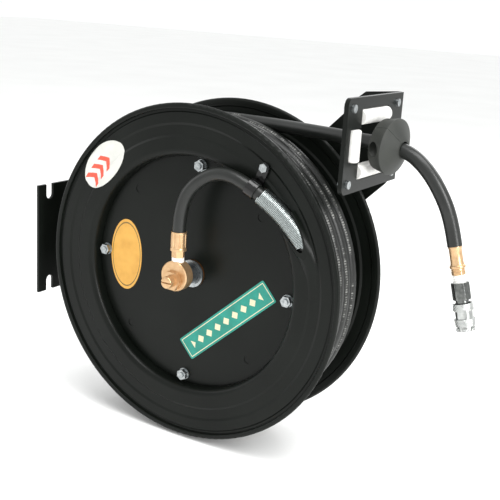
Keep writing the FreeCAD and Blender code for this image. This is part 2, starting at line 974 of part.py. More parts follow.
arbor_bore = cell("shaft_radius") + running
spring_arbor = turned("spring_arbor", tube_points(arbor_bore, cell("arbor_radius"), arbor_front, arbor_back))
key = cell("arbor_key")
key_front = arbor_front + key
key_length = key * 4
key_top = cell("shaft_radius") + key / 2


def key_slot(body, bottom, top):
    drawn = sketch(body, "XY_Plane", bottom)
    side = key / 2 + running
    outline(
        drawn,
        [
            (-side, key_front - running),
            (side, key_front - running),
            (side, key_front + key_length + running),
            (-side, key_front + key_length + running),
        ],
    )
    pocket(body, drawn, top - bottom, back=True)


key_slot(spring_arbor, as_size(0), key_top + running)
arbor_key = piece("arbor_key")
drawn = sketch(arbor_key, "XY_Plane", key_top - key)
outline(
    drawn,
    [
        (-(key / 2), key_front),
        (key / 2, key_front),
        (key / 2, key_front + key_length),
        (-(key / 2), key_front + key_length),
    ],
)
pad(arbor_key, drawn, key)

# Shaft, bushings and what holds the drum on the shaft.

bushing_front = cover_front - cell("bushing_flange_steel")
shaft_run = cell("shaft_radius") + running
front_bushing = turned(
    "front_bushing",
    [
        (shaft_run, bushing_front),
        (cell("bushing_flange"), bushing_front),
        (cell("bushing_flange"), cover_front),
        (cell("bushing_radius"), cover_front),
        (cell("bushing_radius"), bushing_front + cell("bushing_length")),
        (shaft_run, bushing_front + cell("bushing_length")),
    ],
)
rear_bushing = turned(
    "rear_bushing", tube_points(shaft_run, cell("bushing_radius"), rear_floor + seat, wheel_back)
)
hub_washer_front = bushing_front - cell("hub_washer_steel")
hub_washer = turned(
    "hub_washer",
    tube_points(cell("shaft_radius") + seat, cell("bushing_flange"), hub_washer_front, bushing_front),
)
ring_back = hub_washer_front - seat
ring_front = ring_back - cell("ring_steel")
ring_bottom = cell("shaft_radius") - cell("ring_groove_depth")
retaining_ring = turned(
    "retaining_ring", tube_points(ring_bottom + running, cell("ring_radius"), ring_front + running, ring_back)
)
drawn = sketch(retaining_ring, "XZ_Plane", -ring_front)
outline(
    drawn,
    [
        (-(ring_bottom / 2), as_size(0)),
        (ring_bottom / 2, as_size(0)),
        (ring_bottom, -(ring_bottom * 2)),
        (-ring_bottom, -(ring_bottom * 2)),
    ],
)
pocket(retaining_ring, drawn, cell("ring_steel") * 2)

swivel_back = cell("swivel_setback")
swivel_front = swivel_back - cell("swivel_length")
nose = cell("nose_radius")
nose_front = swivel_front + cell("nose_setback")
shaft_rear = bracket_back + cell("rear_washer_steel") + cell("rear_nut_height") + cell("rear_thread")
air_gap = cell("nose_bore") * 0.6
shaft = turned(
    "shaft",
    [
        (cell("nose_bore"), nose_front),
        (nose, nose_front),
        (nose, port - air_gap),
        (nose - 1, port - air_gap),
        (nose - 1, port + air_gap),
        (nose, port + air_gap),
        (nose, swivel_back + seat),
        (cell("shaft_front_radius"), swivel_back + seat),
        (cell("shaft_front_radius"), ring_front - cell("ring_steel")),
        (cell("shaft_radius"), ring_front - cell("ring_steel")),
        (cell("shaft_radius"), ring_front),
        (ring_bottom, ring_front),
        (ring_bottom, ring_back + running),
        (cell("shaft_radius"), ring_back + running),
        (cell("shaft_radius"), arm_face - cell("shaft_collar_length")),
        (cell("shaft_collar"), arm_face - cell("shaft_collar_length")),
        (cell("shaft_collar"), arm_face),
        (cell("shaft_radius"), arm_face),
        (cell("shaft_radius"), shaft_rear),
        (cell("inlet_radius"), shaft_rear),
        (cell("inlet_radius"), shaft_rear - cell("inlet_depth")),
        (cell("shaft_bore"), shaft_rear - cell("inlet_depth")),
        (cell("shaft_bore"), ring_front),
        (cell("nose_bore"), ring_front),
    ],
)
key_slot(shaft, key_top - key - running, key_top)
drawn = sketch(shaft, "XY_Plane")
round_hole(drawn, 0, port, cell("nose_bore") * 0.4)
pocket(shaft, drawn, nose + 1, back=True)

shaft_nut = turned(
    "shaft_nut",
    tube_points(shaft_run, cell("rear_washer_radius"), bracket_back, bracket_back + cell("rear_washer_steel")),
)
nut_back = bracket_back + cell("rear_washer_steel") + cell("rear_nut_height")
drawn = sketch(shaft_nut, "XZ_Plane", -nut_back)
hexagon(drawn, cell("rear_nut_across"), 10)
round_hole(drawn, 0, 0, shaft_run)
pad(shaft_nut, drawn, cell("rear_nut_height"))

# Ratchet wheel with its pawl.

wheel_middle = cell("wheel_foot_height") + rear_floor
ratchet_wheel = turned(
    "ratchet_wheel",
    [
        (cell("bushing_radius"), rear_floor),
        (cell("wheel_foot_radius"), rear_floor),
        (cell("wheel_foot_radius"), wheel_middle),
        (cell("wheel_sleeve"), wheel_middle),
        (cell("wheel_sleeve"), wheel_front),
        (cell("wheel_root"), wheel_front),
        (cell("wheel_root"), wheel_back),
        (cell("bushing_radius"), wheel_back),
    ],
)
tooth_at = sheet.pawl_angle + 180 / sheet.wheel_teeth
drawn = sketch(ratchet_wheel, "XZ_Plane", -wheel_back)
tooth = []
for radius, spread_angle in (
    (cell("wheel_root") - 1, -8),
    (cell("wheel_radius"), -5),
    (cell("wheel_radius"), 5),
    (cell("wheel_root") - 1, 8),
):
    angle = math.radians(tooth_at + spread_angle)
    tooth.append((radius * math.cos(angle), radius * math.sin(angle)))
outline(drawn, tooth)
pad(ratchet_wheel, drawn, cell("wheel_thickness"))
polar(ratchet_wheel, int(sheet.wheel_teeth), "wheel_teeth")

pawl_side = math.radians(sheet.pawl_angle)
pawl_reach = cell("pawl_distance") * math.cos(pawl_side)
pawl_up = cell("pawl_distance") * math.sin(pawl_side)
pawl_back = wheel_back - cell("pawl_side_gap")
pawl_thickness = cell("wheel_thickness") - cell("pawl_side_gap") * 2


def pawl_point(along, aside):
    # in the pawl's frame, along the parked pawl and square to it
    angle = math.radians(sheet.pawl_angle + 180 + sheet.pawl_parked)
    across = along * math.cos(angle) - aside * math.sin(angle)
    up = along * math.sin(angle) + aside * math.cos(angle)
    return across, up


pawl = piece("ratchet_pawl")
drawn = sketch(pawl, "XZ_Plane", -pawl_back)
pawl_hub = cell("pawl_hub_radius")
pawl_length = cell("pawl_length")
tip = cell("pawl_tip") / 2
outline(
    drawn,
    [
        pawl_point(as_size(0), -(pawl_hub * 0.8)),
        pawl_point(pawl_length, -tip),
        pawl_point(pawl_length, tip),
        pawl_point(as_size(0), pawl_hub * 0.8),
        pawl_point(-(pawl_hub * 1.6), tip),
        pawl_point(-(pawl_hub * 1.6), -tip),
    ],
)
pad(pawl, drawn, pawl_thickness)
drawn = sketch(pawl, "XZ_Plane", -pawl_back)
round_hole(drawn, 0, 0, pawl_hub)
pad(pawl, drawn, pawl_thickness)
drawn = sketch(pawl, "XZ_Plane", -(pawl_back - pawl_thickness))
pivot_radius = cell("pawl_pivot_diameter") / 2
round_hole(drawn, 0, 0, pivot_radius + running)
pocket(pawl, drawn, pawl_thickness)

pivot_front = pawl_back - pawl_thickness - seat
pivot_nut = cell("nut_height")
pawl_pivot = turned(
    "pawl_pivot",
    [
        (as_size(0), pivot_front - cell("pivot_head_height")),
        (pivot_radius * 1.6, pivot_front - cell("pivot_head_height")),
        (pivot_radius * 1.6, pivot_front),
        (pivot_radius, pivot_front),
        (pivot_radius, pawl_back + seat),
        (pivot_radius * 1.7, pawl_back + seat),
        (pivot_radius * 1.7, arm_face),
        (pivot_radius, arm_face),
        (pivot_radius, bracket_face + pivot_nut),
        (as_size(0), bracket_face + pivot_nut),
    ],
)
coil_room = arm_face - pawl_back - seat * 2
coil_wire = sheet.pawl_spring_wire
coil_turns = int(sheet.pawl_spring_curls)
coil_pitch = (coil_room.value - coil_wire * 1.5) / coil_turns
coil_radius = pivot_radius.value * 1.7 + sheet.seat_gap + coil_wire
coil_start = pawl_back.value + sheet.seat_gap + coil_wire * 0.75
pawl_spring = straight_coil("pawl spring", coil_radius, coil_pitch, coil_turns, coil_wire, coil_start)
pawl_spring_part = feature_from("pawl_spring", pawl_spring)
pawl_offset = V(pawl_reach.value, 0, pawl_up.value)
pawl_spring_part.Placement = FreeCAD.Placement(drum_point(pawl_offset), FreeCAD.Rotation())

# Swivel, and the crimped end of the jumper hose on it.

seal = cell("seal_wire")
bore = nose + running
groove = bore + seal + running
groove_half = seal * 0.6


def seal_steps(setback):
    return [
        (bore, setback + groove_half),
        (groove, setback + groove_half),
        (groove, setback - groove_half),
        (bore, setback - groove_half),
    ]


front_seal = port - cell("seal_spacing") / 2
back_seal = port + cell("seal_spacing") / 2
bevel = cell("swivel_chamfer")
swivel_body = turned(
    "swivel_body",
    [
        (bore, swivel_front),
        (cell("swivel_radius") - bevel, swivel_front),
        (cell("swivel_radius"), swivel_front + bevel),
        (cell("swivel_radius"), swivel_back - bevel),
        (cell("swivel_radius") - bevel, swivel_back),
        (bore, swivel_back),
    ]
    + seal_steps(back_seal)
    + seal_steps(front_seal),
)
drawn = sketch(swivel_body, "XY_Plane")
round_hole(drawn, 0, port, cell("stem_bore"))
pocket(swivel_body, drawn, cell("swivel_radius"), back=True)
drawn = sketch(swivel_body, "XY_Plane", stub_bottom)
round_hole(drawn, 0, port, cell("thread_radius") + running)
pocket(swivel_body, drawn, cell("swivel_radius"), back=True)

seal_rings = []
for name, setback in (("front_seal", front_seal), ("back_seal", back_seal)):
    ring = doc.addObject("Part::Torus", name)
    ring.setExpression("Radius1", (bore + seal / 2).text)
    ring.setExpression("Radius2", (seal / 2).text)
    ring.Placement = FreeCAD.Placement(V(0, setback.value, 0), FreeCAD.Rotation(V(1, 0, 0), 90))
    ring.setExpression("Placement.Base.y", setback.text)
    seal_rings.append(ring)
swivel_seals = doc.addObject("Part::Compound", "swivel_seals")
swivel_seals.Label = "swivel_seals"
swivel_seals.Links = seal_rings
made.append(swivel_seals)

swivel_plug = piece("swivel_plug")
plug_base = swivel_front - cell("plug_hex_height")
plug_end = swivel_front - cell("plug_length")
drawn = sketch(swivel_plug, "XZ_Plane", -swivel_front)
hexagon(drawn, cell("plug_hex_across"), 0)
pad(swivel_plug, drawn, cell("plug_hex_height"))
drawn = sketch(swivel_plug, "XZ_Plane", -plug_base)
round_hole(drawn, 0, 0, cell("plug_radius"))
pad(swivel_plug, drawn, plug_base - plug_end)
soften(swivel_plug, cell("plug_round"), ring_at(cell("plug_radius"), plug_end))
drawn = sketch(swivel_plug, "XZ_Plane", -plug_end)
slot_half = cell("plug_slot_width") / 2
slot_reach = cell("plug_radius") + 1
outline(
    drawn,
    [(-slot_reach, -slot_half), (slot_reach, -slot_half), (slot_reach, slot_half), (-slot_reach, slot_half)],
)
pocket(swivel_plug, drawn, cell("plug_slot_depth"))


def hose_stem(name, start, thread_end, hex_end, tail_end, hole):
    # a nipple about its own Y axis: thread, hexagon, and the tail inside the hose
    body = piece(name)
    drawn = sketch(body)
    outline(
        drawn,
        [
            (hole, start),
            (cell("thread_radius"), start),
            (cell("thread_radius"), hex_end),
            (cell("stem_tail_radius"), hex_end),
            (cell("stem_tail_radius"), tail_end),
            (hole, tail_end),
        ],
    )
    spin(body, drawn)
    top = thread_end if thread_end.value > hex_end.value else hex_end
    low = hex_end if thread_end.value > hex_end.value else thread_end
    drawn = sketch(body, "XZ_Plane", -top)
    hexagon(drawn, cell("stem_hex_across"), 10)
    round_hole(drawn, 0, 0, cell("thread_radius") - 1)
    pad(body, drawn, top - low)
    return body


def crimped_ferrule(name, radius, start, length, hole, flared_start):
    # a sleeve about its own Y axis with pressed flutes and a collar at one end
    body = piece(name)
    drawn = sketch(body)
    wide = radius + cell("ferrule_collar")
    collar = cell("ferrule_collar_length")
    end = start + length
    if flared_start:
        points = [
            (hole, start),
            (wide, start),
            (wide, start + collar),
            (radius, start + collar * 1.4),
            (radius, end),
            (hole, end),
        ]
    else:
        points = [
            (hole, start),
            (radius, start),
            (radius, end - collar * 1.4),
            (wide, end - collar),
            (wide, end),
            (hole, end),
        ]
    outline(drawn, points)
    spin(body, drawn)
    flute_front = start + collar * (1.8 if flared_start else 0.8)
    drawn = sketch(body, "XZ_Plane", -flute_front)
    flute = cell("ferrule_flute")
    round_hole(drawn, 0, radius + flute * 0.5, flute)
    pocket(body, drawn, length - collar * 2.6)
    polar(body, int(sheet.ferrule_flutes), "ferrule_flutes")
    return body


tail_bore = cell("stem_tail_radius") + running
nipple = hose_stem("jumper_nipple", stub_bottom, hex_bottom, hex_top, ferrule_top - 1, cell("stem_bore"))
ferrule = crimped_ferrule(
    "jumper_ferrule", cell("ferrule_radius"), ferrule_bottom, cell("ferrule_length"), tail_bore, True
)
tape_outer = cell("thread_radius") + cell("tape_thickness")
tape_inner = cell("thread_radius") + running
tape = turned("jumper_thread_tape", tube_points(tape_inner, tape_outer, stub_bottom, hex_bottom))
drawn = sketch(tape)
round_hole(drawn, 0, 0, cell("swivel_radius") + running)
pocket(tape, drawn, cell("swivel_radius") * 2, centred=True)
upright = FreeCAD.Rotation(V(1, 0, 0), 90)

# Clip that holds the jumper hose to the flange.

clip_centre, clip_way = place_on(jumper_path, sheet.clip_along)
clip_side = math.radians(sheet.clip_angle)
screw_across = sheet.clip_screw_radius * math.cos(clip_side)
screw_up = sheet.clip_screw_radius * math.sin(clip_side)
half_clip = sheet.clip_width / 2
ear_back = sheet.face_setback - sheet.seat_gap
ear_front = ear_back - sheet.clip_band * 2
cushion_inner = hose_radius.value + sheet.clip_hose_gap
band_inner = ear_back - clip_centre.y - sheet.clip_band
band_outer = band_inner + sheet.clip_band
ring_start = clip_centre - clip_way * half_clip
outward = V(screw_across - clip_centre.x, 0, screw_up - clip_centre.z)
ear_length = outward.Length
outward.normalize()
ear = Part.makeBox(sheet.clip_width, sheet.clip_band * 2, ear_length, V(-half_clip, ear_front, 0))
ear_turn = FreeCAD.Rotation(V(0, 0, 1), outward)
ear.Placement = FreeCAD.Placement(V(clip_centre.x, 0, clip_centre.z), ear_turn)
ear_end = Part.makeCylinder(half_clip, sheet.clip_band * 2, V(screw_across, ear_front, screw_up), V(0, 1, 0))
band = Part.makeCylinder(band_outer, sheet.clip_width, ring_start, clip_way)
band = band.fuse([ear, ear_end]).removeSplitter()
band = band.cut(Part.makeCylinder(band_inner, sheet.clip_width * 3, ring_start - clip_way * sheet.clip_width, clip_way))
screw_hole = sheet.clip_screw_diameter / 2 + sheet.bolt_clearance
band = band.cut(Part.makeCylinder(screw_hole, 20, V(screw_across, -10, screw_up), V(0, 1, 0)))
feature_from("hose_clip", band)
cushion = Part.makeCylinder(band_inner - 0.05, sheet.clip_width, ring_start, clip_way)
cushion = cushion.cut(Part.makeCylinder(cushion_inner, sheet.clip_width, ring_start, clip_way))
feature_from("clip_cushion", cushion)

clip_screw = piece("clip_screw")
clip_screw_side = clip_side
screw_x = cell("clip_screw_radius") * math.cos(clip_side)
screw_z = cell("clip_screw_radius") * math.sin(clip_side)
clip_front = face - seat - cell("clip_band") * 2
drawn = sketch(clip_screw, "XZ_Plane", -clip_front)
hexagon(drawn, cell("clip_screw_diameter") * 1.67, 20, screw_x, screw_z)
pad(clip_screw, drawn, cell("clip_screw_diameter") * 0.67)
drawn = sketch(clip_screw, "XZ_Plane", -(floor_front / 2))
round_hole(drawn, screw_x, screw_z, cell("clip_screw_diameter") / 2)
pad(clip_screw, drawn, floor_front / 2 - clip_front)
drawn = sketch(front_disc, "XZ_Plane")
round_hole(drawn, screw_x, screw_z, cell("clip_screw_diameter") / 2 + running)
pocket(front_disc, drawn, cell("lip_width"))

# Wall bracket.

wall = -cell("axis_reach")
plate_near = cell("rim_setback") - cell("wall_plate_width") / 2
plate_far = bracket_back
half_height = cell("wall_plate_height") / 2
bracket = piece("wall_bracket")
drawn = sketch(bracket, "YZ_Plane", wall)
outline(
    drawn,
    [(plate_near, -half_height), (plate_far, -half_height), (plate_far, half_height), (plate_near, half_height)],
)
pad(bracket, drawn, cell("bracket_steel"))
hub = cell("bracket_hub_radius")
hub_lean = math.radians(86)
drawn = sketch(bracket, "XZ_Plane", -bracket_back)
outline(
    drawn,
    [
        (wall, -half_height),
        (hub * math.cos(hub_lean), -(hub * math.sin(hub_lean))),
        (hub * math.cos(hub_lean), hub * math.sin(hub_lean)),
        (wall, half_height),
    ],
)
pad(bracket, drawn, cell("bracket_steel"))
drawn = sketch(bracket, "XZ_Plane", -bracket_back)
round_hole(drawn, 0, 0, hub)
pad(bracket, drawn, cell("bracket_steel"))


def corner_line(across, along):
    # picks an upright edge at a place across and along
    def wanted(edge):
        if not isinstance(edge.Curve, Part.Line):
            return False
        ends = edge.Vertexes
        upright_edge = abs(ends[0].X - ends[1].X) < 0.01 and abs(ends[0].Y - ends[1].Y) < 0.01
        near = abs(ends[0].X - across.value) < 0.01 and abs(ends[0].Y - along.value) < 0.01
        return upright_edge and near
    return wanted


soften(bracket, cell("bracket_bend"), corner_line(wall, bracket_back))
inner_bend = cell("bracket_bend") - cell("bracket_steel")
soften(bracket, inner_bend, corner_line(wall + cell("bracket_steel"), bracket_face))

slot_half = cell("wall_slot_width") / 2
for side in (-1, 1):
    for level in (-1, 1):
        along = cell("rim_setback") + cell("wall_bolts_across") / 2 * side
        up = cell("wall_bolts_up") / 2 * level
        drawn = sketch(bracket, "YZ_Plane", wall)
        edge_up = (half_height + 1) * level
        outline(
            drawn,
            [(along - slot_half, up), (along + slot_half, up), (along + slot_half, edge_up), (along - slot_half, edge_up)],
        )
        pocket(bracket, drawn, cell("bracket_steel") + 1, back=True)
        drawn = sketch(bracket, "YZ_Plane", wall)
        round_hole(drawn, along, up, slot_half)
        pocket(bracket, drawn, cell("bracket_steel") + 1, back=True)


def hub_holes(body, front, depth):
    drawn = sketch(body, "XZ_Plane", -front)
    round_hole(drawn, 0, 0, cell("shaft_radius") + cell("bolt_clearance"))
    pocket(body, drawn, depth)
    drawn = sketch(body, "XZ_Plane", -front)
    turn = math.radians(sheet.arm_bolt_turn)
    circle = cell("arm_bolt_circle")
    size = cell("arm_bolt_diameter") / 2 + cell("bolt_clearance")
    round_hole(drawn, circle * math.cos(turn), circle * math.sin(turn), size)
    pocket(body, drawn, depth)
    polar(body, 4)


hub_holes(bracket, bracket_face, cell("bracket_steel"))

# Guide arm with the flange that carries the rollers.

arm = piece("guide_arm")
plate_front = cell("head_reach") - cell("front_plate_steel")
flange_front = plate_front - cell("arm_steel")
head_left = cell("head_reach") - cell("head_tab")
head_up = cell("wound_radius")
head_bottom = head_up - cell("head_height") / 2
head_top = head_up + cell("head_height") / 2
above = cell("arm_strip_above") * math.sqrt(2)
below = cell("arm_strip_below") * math.sqrt(2)
heel = cell("head_reach") - cell("head_heel")
drawn = sketch(arm, "XZ_Plane", -bracket_face)
outline(
    drawn,
    [
        (-(above / 2), above / 2),
        (below / 2, -(below / 2)),
        (heel, heel - below),
        (plate_front - cell("arm_steel") * 2, head_bottom),
        (plate_front, head_bottom),
        (plate_front, head_top),
        (plate_front - cell("arm_steel") * 2, head_top),
        (head_left + cell("head_corner"), head_top - cell("head_corner") / 2),
        (head_left, head_top - cell("head_corner") * 1.3),
        (head_left, head_left + above),
    ],
)
pad(arm, drawn, cell("arm_steel"))
drawn = sketch(arm, "XZ_Plane", -bracket_face)
round_hole(drawn, 0, 0, cell("arm_hub_radius"))
pad(arm, drawn, cell("arm_steel"))
head_near = cell("head_setback") - cell("head_near")
drawn = sketch(arm, "YZ_Plane", flange_front)
outline(
    drawn,
    [(head_near, head_bottom), (bracket_face, head_bottom), (bracket_face, head_top), (head_near, head_top)],
)
pad(arm, drawn, cell("arm_steel"))
soften(arm, cell("arm_steel") * 1.5, corner_line(plate_front, bracket_face))
soften(arm, cell("arm_steel") / 2, corner_line(flange_front, arm_face))
hub_holes(arm, arm_face, cell("arm_steel"))
drawn = sketch(arm, "XZ_Plane", -arm_face)
round_hole(drawn, pawl_reach, pawl_up, pivot_radius + running)
pocket(arm, drawn, cell("arm_steel"))


def near_corner(edge):
    # picks the two corners of a roller plate that stand away from the arm
    if not isinstance(edge.Curve, Part.Line):
        return False
    ends = edge.Vertexes
    level = abs(ends[0].Y - ends[1].Y) < 0.01 and abs(ends[0].Z - ends[1].Z) < 0.01
    return level and abs(ends[0].Y - head_near.value) < 0.01


screw_places = []
for side in (-1, 1):
    for level in (-1, 1):
        along = cell("head_setback") + cell("plate_screws_across") / 2 * side
        up = head_up + cell("plate_screws_up") / 2 * level
        screw_places.append((along, up))


def roller_window(body, front, steel_here):
    # the cross-shaped window, the grooves of the roller pins and the screw holes
    middle = cell("head_setback")
    wide = cell("window_across") / 2
    tall = cell("window_tall") / 2
    side_wide = cell("window_side_across") / 2
    side_tall = cell("window_side_tall") / 2
    drawn = sketch(body, "YZ_Plane", front)
    outline(
        drawn,
        [
            (middle - wide, head_up - tall),
            (middle + wide, head_up - tall),
            (middle + wide, head_up - side_tall),
            (middle + side_wide, head_up - side_tall),
            (middle + side_wide, head_up + side_tall),
            (middle + wide, head_up + side_tall),
            (middle + wide, head_up + tall),
            (middle - wide, head_up + tall),
            (middle - wide, head_up + side_tall),
            (middle - side_wide, head_up + side_tall),
            (middle - side_wide, head_up - side_tall),
            (middle - wide, head_up - side_tall),
        ],
    )
    pocket(body, drawn, steel_here)
    groove_radius = cell("roller_pin_diameter") / 2 + running
    overlap = cell("roller_pin_overlap") + running
    for level in (-1, 1):
        drawn = sketch(body, "XZ_Plane", -(middle - wide - overlap))
        round_hole(drawn, plate_front, head_up + cell("roller_up") * level, groove_radius)
        pocket(body, drawn, (wide + overlap) * 2)
        drawn = sketch(body, "XY_Plane", head_up - side_tall - overlap)
        round_hole(drawn, plate_front, middle + cell("roller_side") * level, groove_radius)
        pocket(body, drawn, (side_tall + overlap) * 2, back=True)
    for along, up in screw_places:
        drawn = sketch(body, "YZ_Plane", front)
        round_hole(drawn, along, up, cell("plate_screw_diameter") / 2 + running)
        pocket(body, drawn, steel_here)


soften(arm, cell("head_corner"), near_corner)
roller_window(arm, plate_front, cell("arm_steel"))

front_plate = piece("roller_front_plate")
drawn = sketch(front_plate, "YZ_Plane", plate_front)
plate_edge = bracket_face - cell("arm_steel") * 1.5
outline(
    drawn,
    [(head_near, head_bottom), (plate_edge, head_bottom), (plate_edge, head_top), (head_near, head_top)],
)
pad(front_plate, drawn, cell("front_plate_steel"))
soften(front_plate, cell("head_corner"), near_corner)
roller_window(front_plate, cell("head_reach"), cell("front_plate_steel"))

screws = piece("roller_plate_screws")
nuts = piece("roller_plate_nuts")
shank_back = flange_front - cell("plate_nut_height") - 1
for along, up in screw_places:
    drawn = sketch(screws, "YZ_Plane", cell("head_reach"))
    round_hole(drawn, along, up, cell("plate_screw_head") / 2)
    pad(screws, drawn, cell("plate_screw_head_height"))
    drawn = sketch(screws, "YZ_Plane", shank_back)
    round_hole(drawn, along, up, cell("plate_screw_diameter") / 2)
    pad(screws, drawn, cell("head_reach") - shank_back)
    drawn = sketch(nuts, "YZ_Plane", flange_front - cell("plate_nut_height"))
    hexagon(drawn, cell("plate_nut_across"), 0, along, up)
    round_hole(drawn, along, up, cell("plate_screw_diameter") / 2 + running)
    pad(nuts, drawn, cell("plate_nut_height"))


def roller(name, length):
    bore_radius = cell("roller_pin_diameter") / 2 + running
    radius = cell("roller_diameter") / 2
    soft = cell("roller_chamfer")
    half = length / 2
    return turned(
        name,
        [
            (bore_radius, -half),
            (radius - soft, -half),
            (radius, -half + soft),
            (radius, half - soft),
            (radius - soft, half),
            (bore_radius, half),
        ],
    )


play = cell("roller_end_play")
wide_roller = cell("window_across") - play * 2
tall_roller = cell("window_side_tall") - play * 2
top_roller = roller("top_roller", wide_roller)
bottom_roller = roller("bottom_roller", wide_roller)
near_roller = roller("near_roller", tall_roller)
far_roller = roller("far_roller", tall_roller)
pins = piece("roller_pins")
pin_radius = cell("roller_pin_diameter") / 2
for level in (-1, 1):
    half = cell("window_across") / 2 + cell("roller_pin_overlap")
    drawn = sketch(pins, "XZ_Plane", -(cell("head_setback") + half))
    round_hole(drawn, plate_front, head_up + cell("roller_up") * level, pin_radius)
    pad(pins, drawn, half * 2)
    half = cell("window_side_tall") / 2 + cell("roller_pin_overlap")
    drawn = sketch(pins, "XY_Plane", head_up - half)
    round_hole(drawn, plate_front, cell("head_setback") + cell("roller_side") * level, pin_radius)
    pad(pins, drawn, half * 2)


def arm_ring(name, sections):
    body = piece(name)
    turn = math.radians(sheet.arm_bolt_turn)
    circle = cell("arm_bolt_circle")
    across = circle * math.cos(turn)
    up = circle * math.sin(turn)
    for kind, size, bore_here, front, back in sections:
        drawn = sketch(body, "XZ_Plane", -back)
        if kind == "hex":
            hexagon(drawn, size, 30, across, up)
        else:
            round_hole(drawn, across, up, size)
        if bore_here is not None:
            round_hole(drawn, across, up, bore_here)
        pad(body, drawn, back - front)
    pattern = body.newObject("PartDesign::PolarPattern", f"{name}_pattern")
    pattern.Originals = [item for item in body.Group if item.TypeId == "PartDesign::Pad"]
    axis = [item for item in body.Origin.OriginFeatures if item.Role == "Y_Axis"][0]
    pattern.Axis = (axis, [""])
    pattern.Angle = 360
    pattern.Occurrences = 4
    body.Tip = pattern
    return body


arm_bolt_radius = cell("arm_bolt_diameter") / 2
arm_nut_back = bracket_back + cell("nut_height")
arm_bolts = arm_ring(
    "arm_bolts",
    [
        ("hex", cell("nut_across"), None, arm_face - cell("arm_bolt_head"), arm_face),
        ("round", arm_bolt_radius, None, arm_face, arm_nut_back + cell("thread_beyond_nut")),
    ],
)
arm_nuts = arm_ring(
    "arm_nuts", [("hex", cell("nut_across"), arm_bolt_radius + running, bracket_back, arm_nut_back)]
)
drawn = sketch(arm_nuts, "XZ_Plane", -(bracket_face + pivot_nut))
hexagon(drawn, cell("nut_across"), 20, pawl_reach, pawl_up)
round_hole(drawn, pawl_reach, pawl_up, pivot_radius + running)
pad(arm_nuts, drawn, pivot_nut)

# Outlet hose, from the top of the wound hose through the rollers to its hanging end.

coil_end = wound_point(wound_turns)
outlet_route = [
    (sheet.hose_diameter, coil_end.y, sheet.wound_radius),
    (62.0, coil_end.y, sheet.wound_radius),
    (206.0, 65.2, 199.9),
    (271.0, 58.3, 195.6),
    (303.0, 55.0, 178.0),
    (324.0, 52.8, 147.5),
    (332.8, 51.9, 118.4),
    (339.2, 51.2, 95.4),
]
outlet_path = hose_path(outlet_route, "outlet hose")
feature_from("outlet_hose", hose_solid(outlet_path, hose_radius.value, "outlet hose"))
outlet_end, outlet_way = place_on(outlet_path, 1e6)


def on_outlet(body, point, way, about=0.0):
    in_drum_frame(body, point.y, point.x, point.z)
    base = body.Placement.Base
    body.Placement = FreeCAD.Placement(base, turn_to(way, about))


# Ball stop.

ball_centre, ball_way = place_on(outlet_path, sheet.ball_along)
ball_bore = hose_radius + seat
half_thick = cell("ball_thickness") / 2
boss_end = half_thick + cell("ball_boss_length")


def ball_half(name, side):
    body = turned(
        name,
        [
            (ball_bore, -half_thick),
            (cell("ball_radius"), -half_thick),
            (cell("ball_radius"), half_thick),
            (cell("ball_boss_radius"), half_thick),
            (cell("ball_boss_radius") - 1, boss_end),
            (ball_bore, boss_end),
        ],
    )
    rim = any_of(ring_at(cell("ball_radius"), half_thick), ring_at(cell("ball_radius"), -half_thick))
    soften(body, cell("ball_round"), rim)
    far = cell("ball_radius") + 5
    drawn = sketch(body, "XZ_Plane")
    split = cell("ball_split") / 2
    if side > 0:
        outline(drawn, [(-far, -far), (split, -far), (split, far), (-far, far)])
    else:
        outline(drawn, [(-split, -far), (far, -far), (far, far), (-split, far)])
    pocket(body, drawn, far * 2, centred=True)
    for level in (-1, 1):
        up = cell("ball_screw_offset") * level
        drawn = sketch(body, "YZ_Plane")
        round_hole(drawn, 0, up, cell("ball_screw_diameter") / 2 + running)
        pocket(body, drawn, far * 2, centred=True)
        web = cell("ball_web") / 2
        drawn = sketch(body, "YZ_Plane", web * side)
        round_hole(drawn, 0, up, cell("ball_pocket_radius"))
        pocket(body, drawn, far, back=side > 0)
    return body


ball_near = ball_half("ball_stop_near_half", 1)
ball_far = ball_half("ball_stop_far_half", -1)
ball_screws = piece("ball_stop_screws")
ball_nuts = piece("ball_stop_nuts")
web = cell("ball_web") / 2
ball_head = cell("ball_screw_diameter") * 0.7
for level in (-1, 1):
    up = cell("ball_screw_offset") * level
    drawn = sketch(ball_screws, "YZ_Plane", web)
    round_hole(drawn, 0, up, cell("ball_pocket_radius") - 1.2)
    pad(ball_screws, drawn, ball_head)
    drawn = sketch(ball_screws, "YZ_Plane", -(web + cell("plate_nut_height") + 1))
    round_hole(drawn, 0, up, cell("ball_screw_diameter") / 2)
    pad(ball_screws, drawn, web * 2 + cell("plate_nut_height") + 1)
    drawn = sketch(ball_nuts, "YZ_Plane", -(web + cell("plate_nut_height")))
    hexagon(drawn, cell("plate_nut_across"), 0, 0, up)
    round_hole(drawn, 0, up, cell("ball_screw_diameter") / 2 + running)
    pad(ball_nuts, drawn, cell("plate_nut_height"))

# Crimped end of the outlet hose and the coupler on it. Each is drawn along its own Y axis from the hose's end.

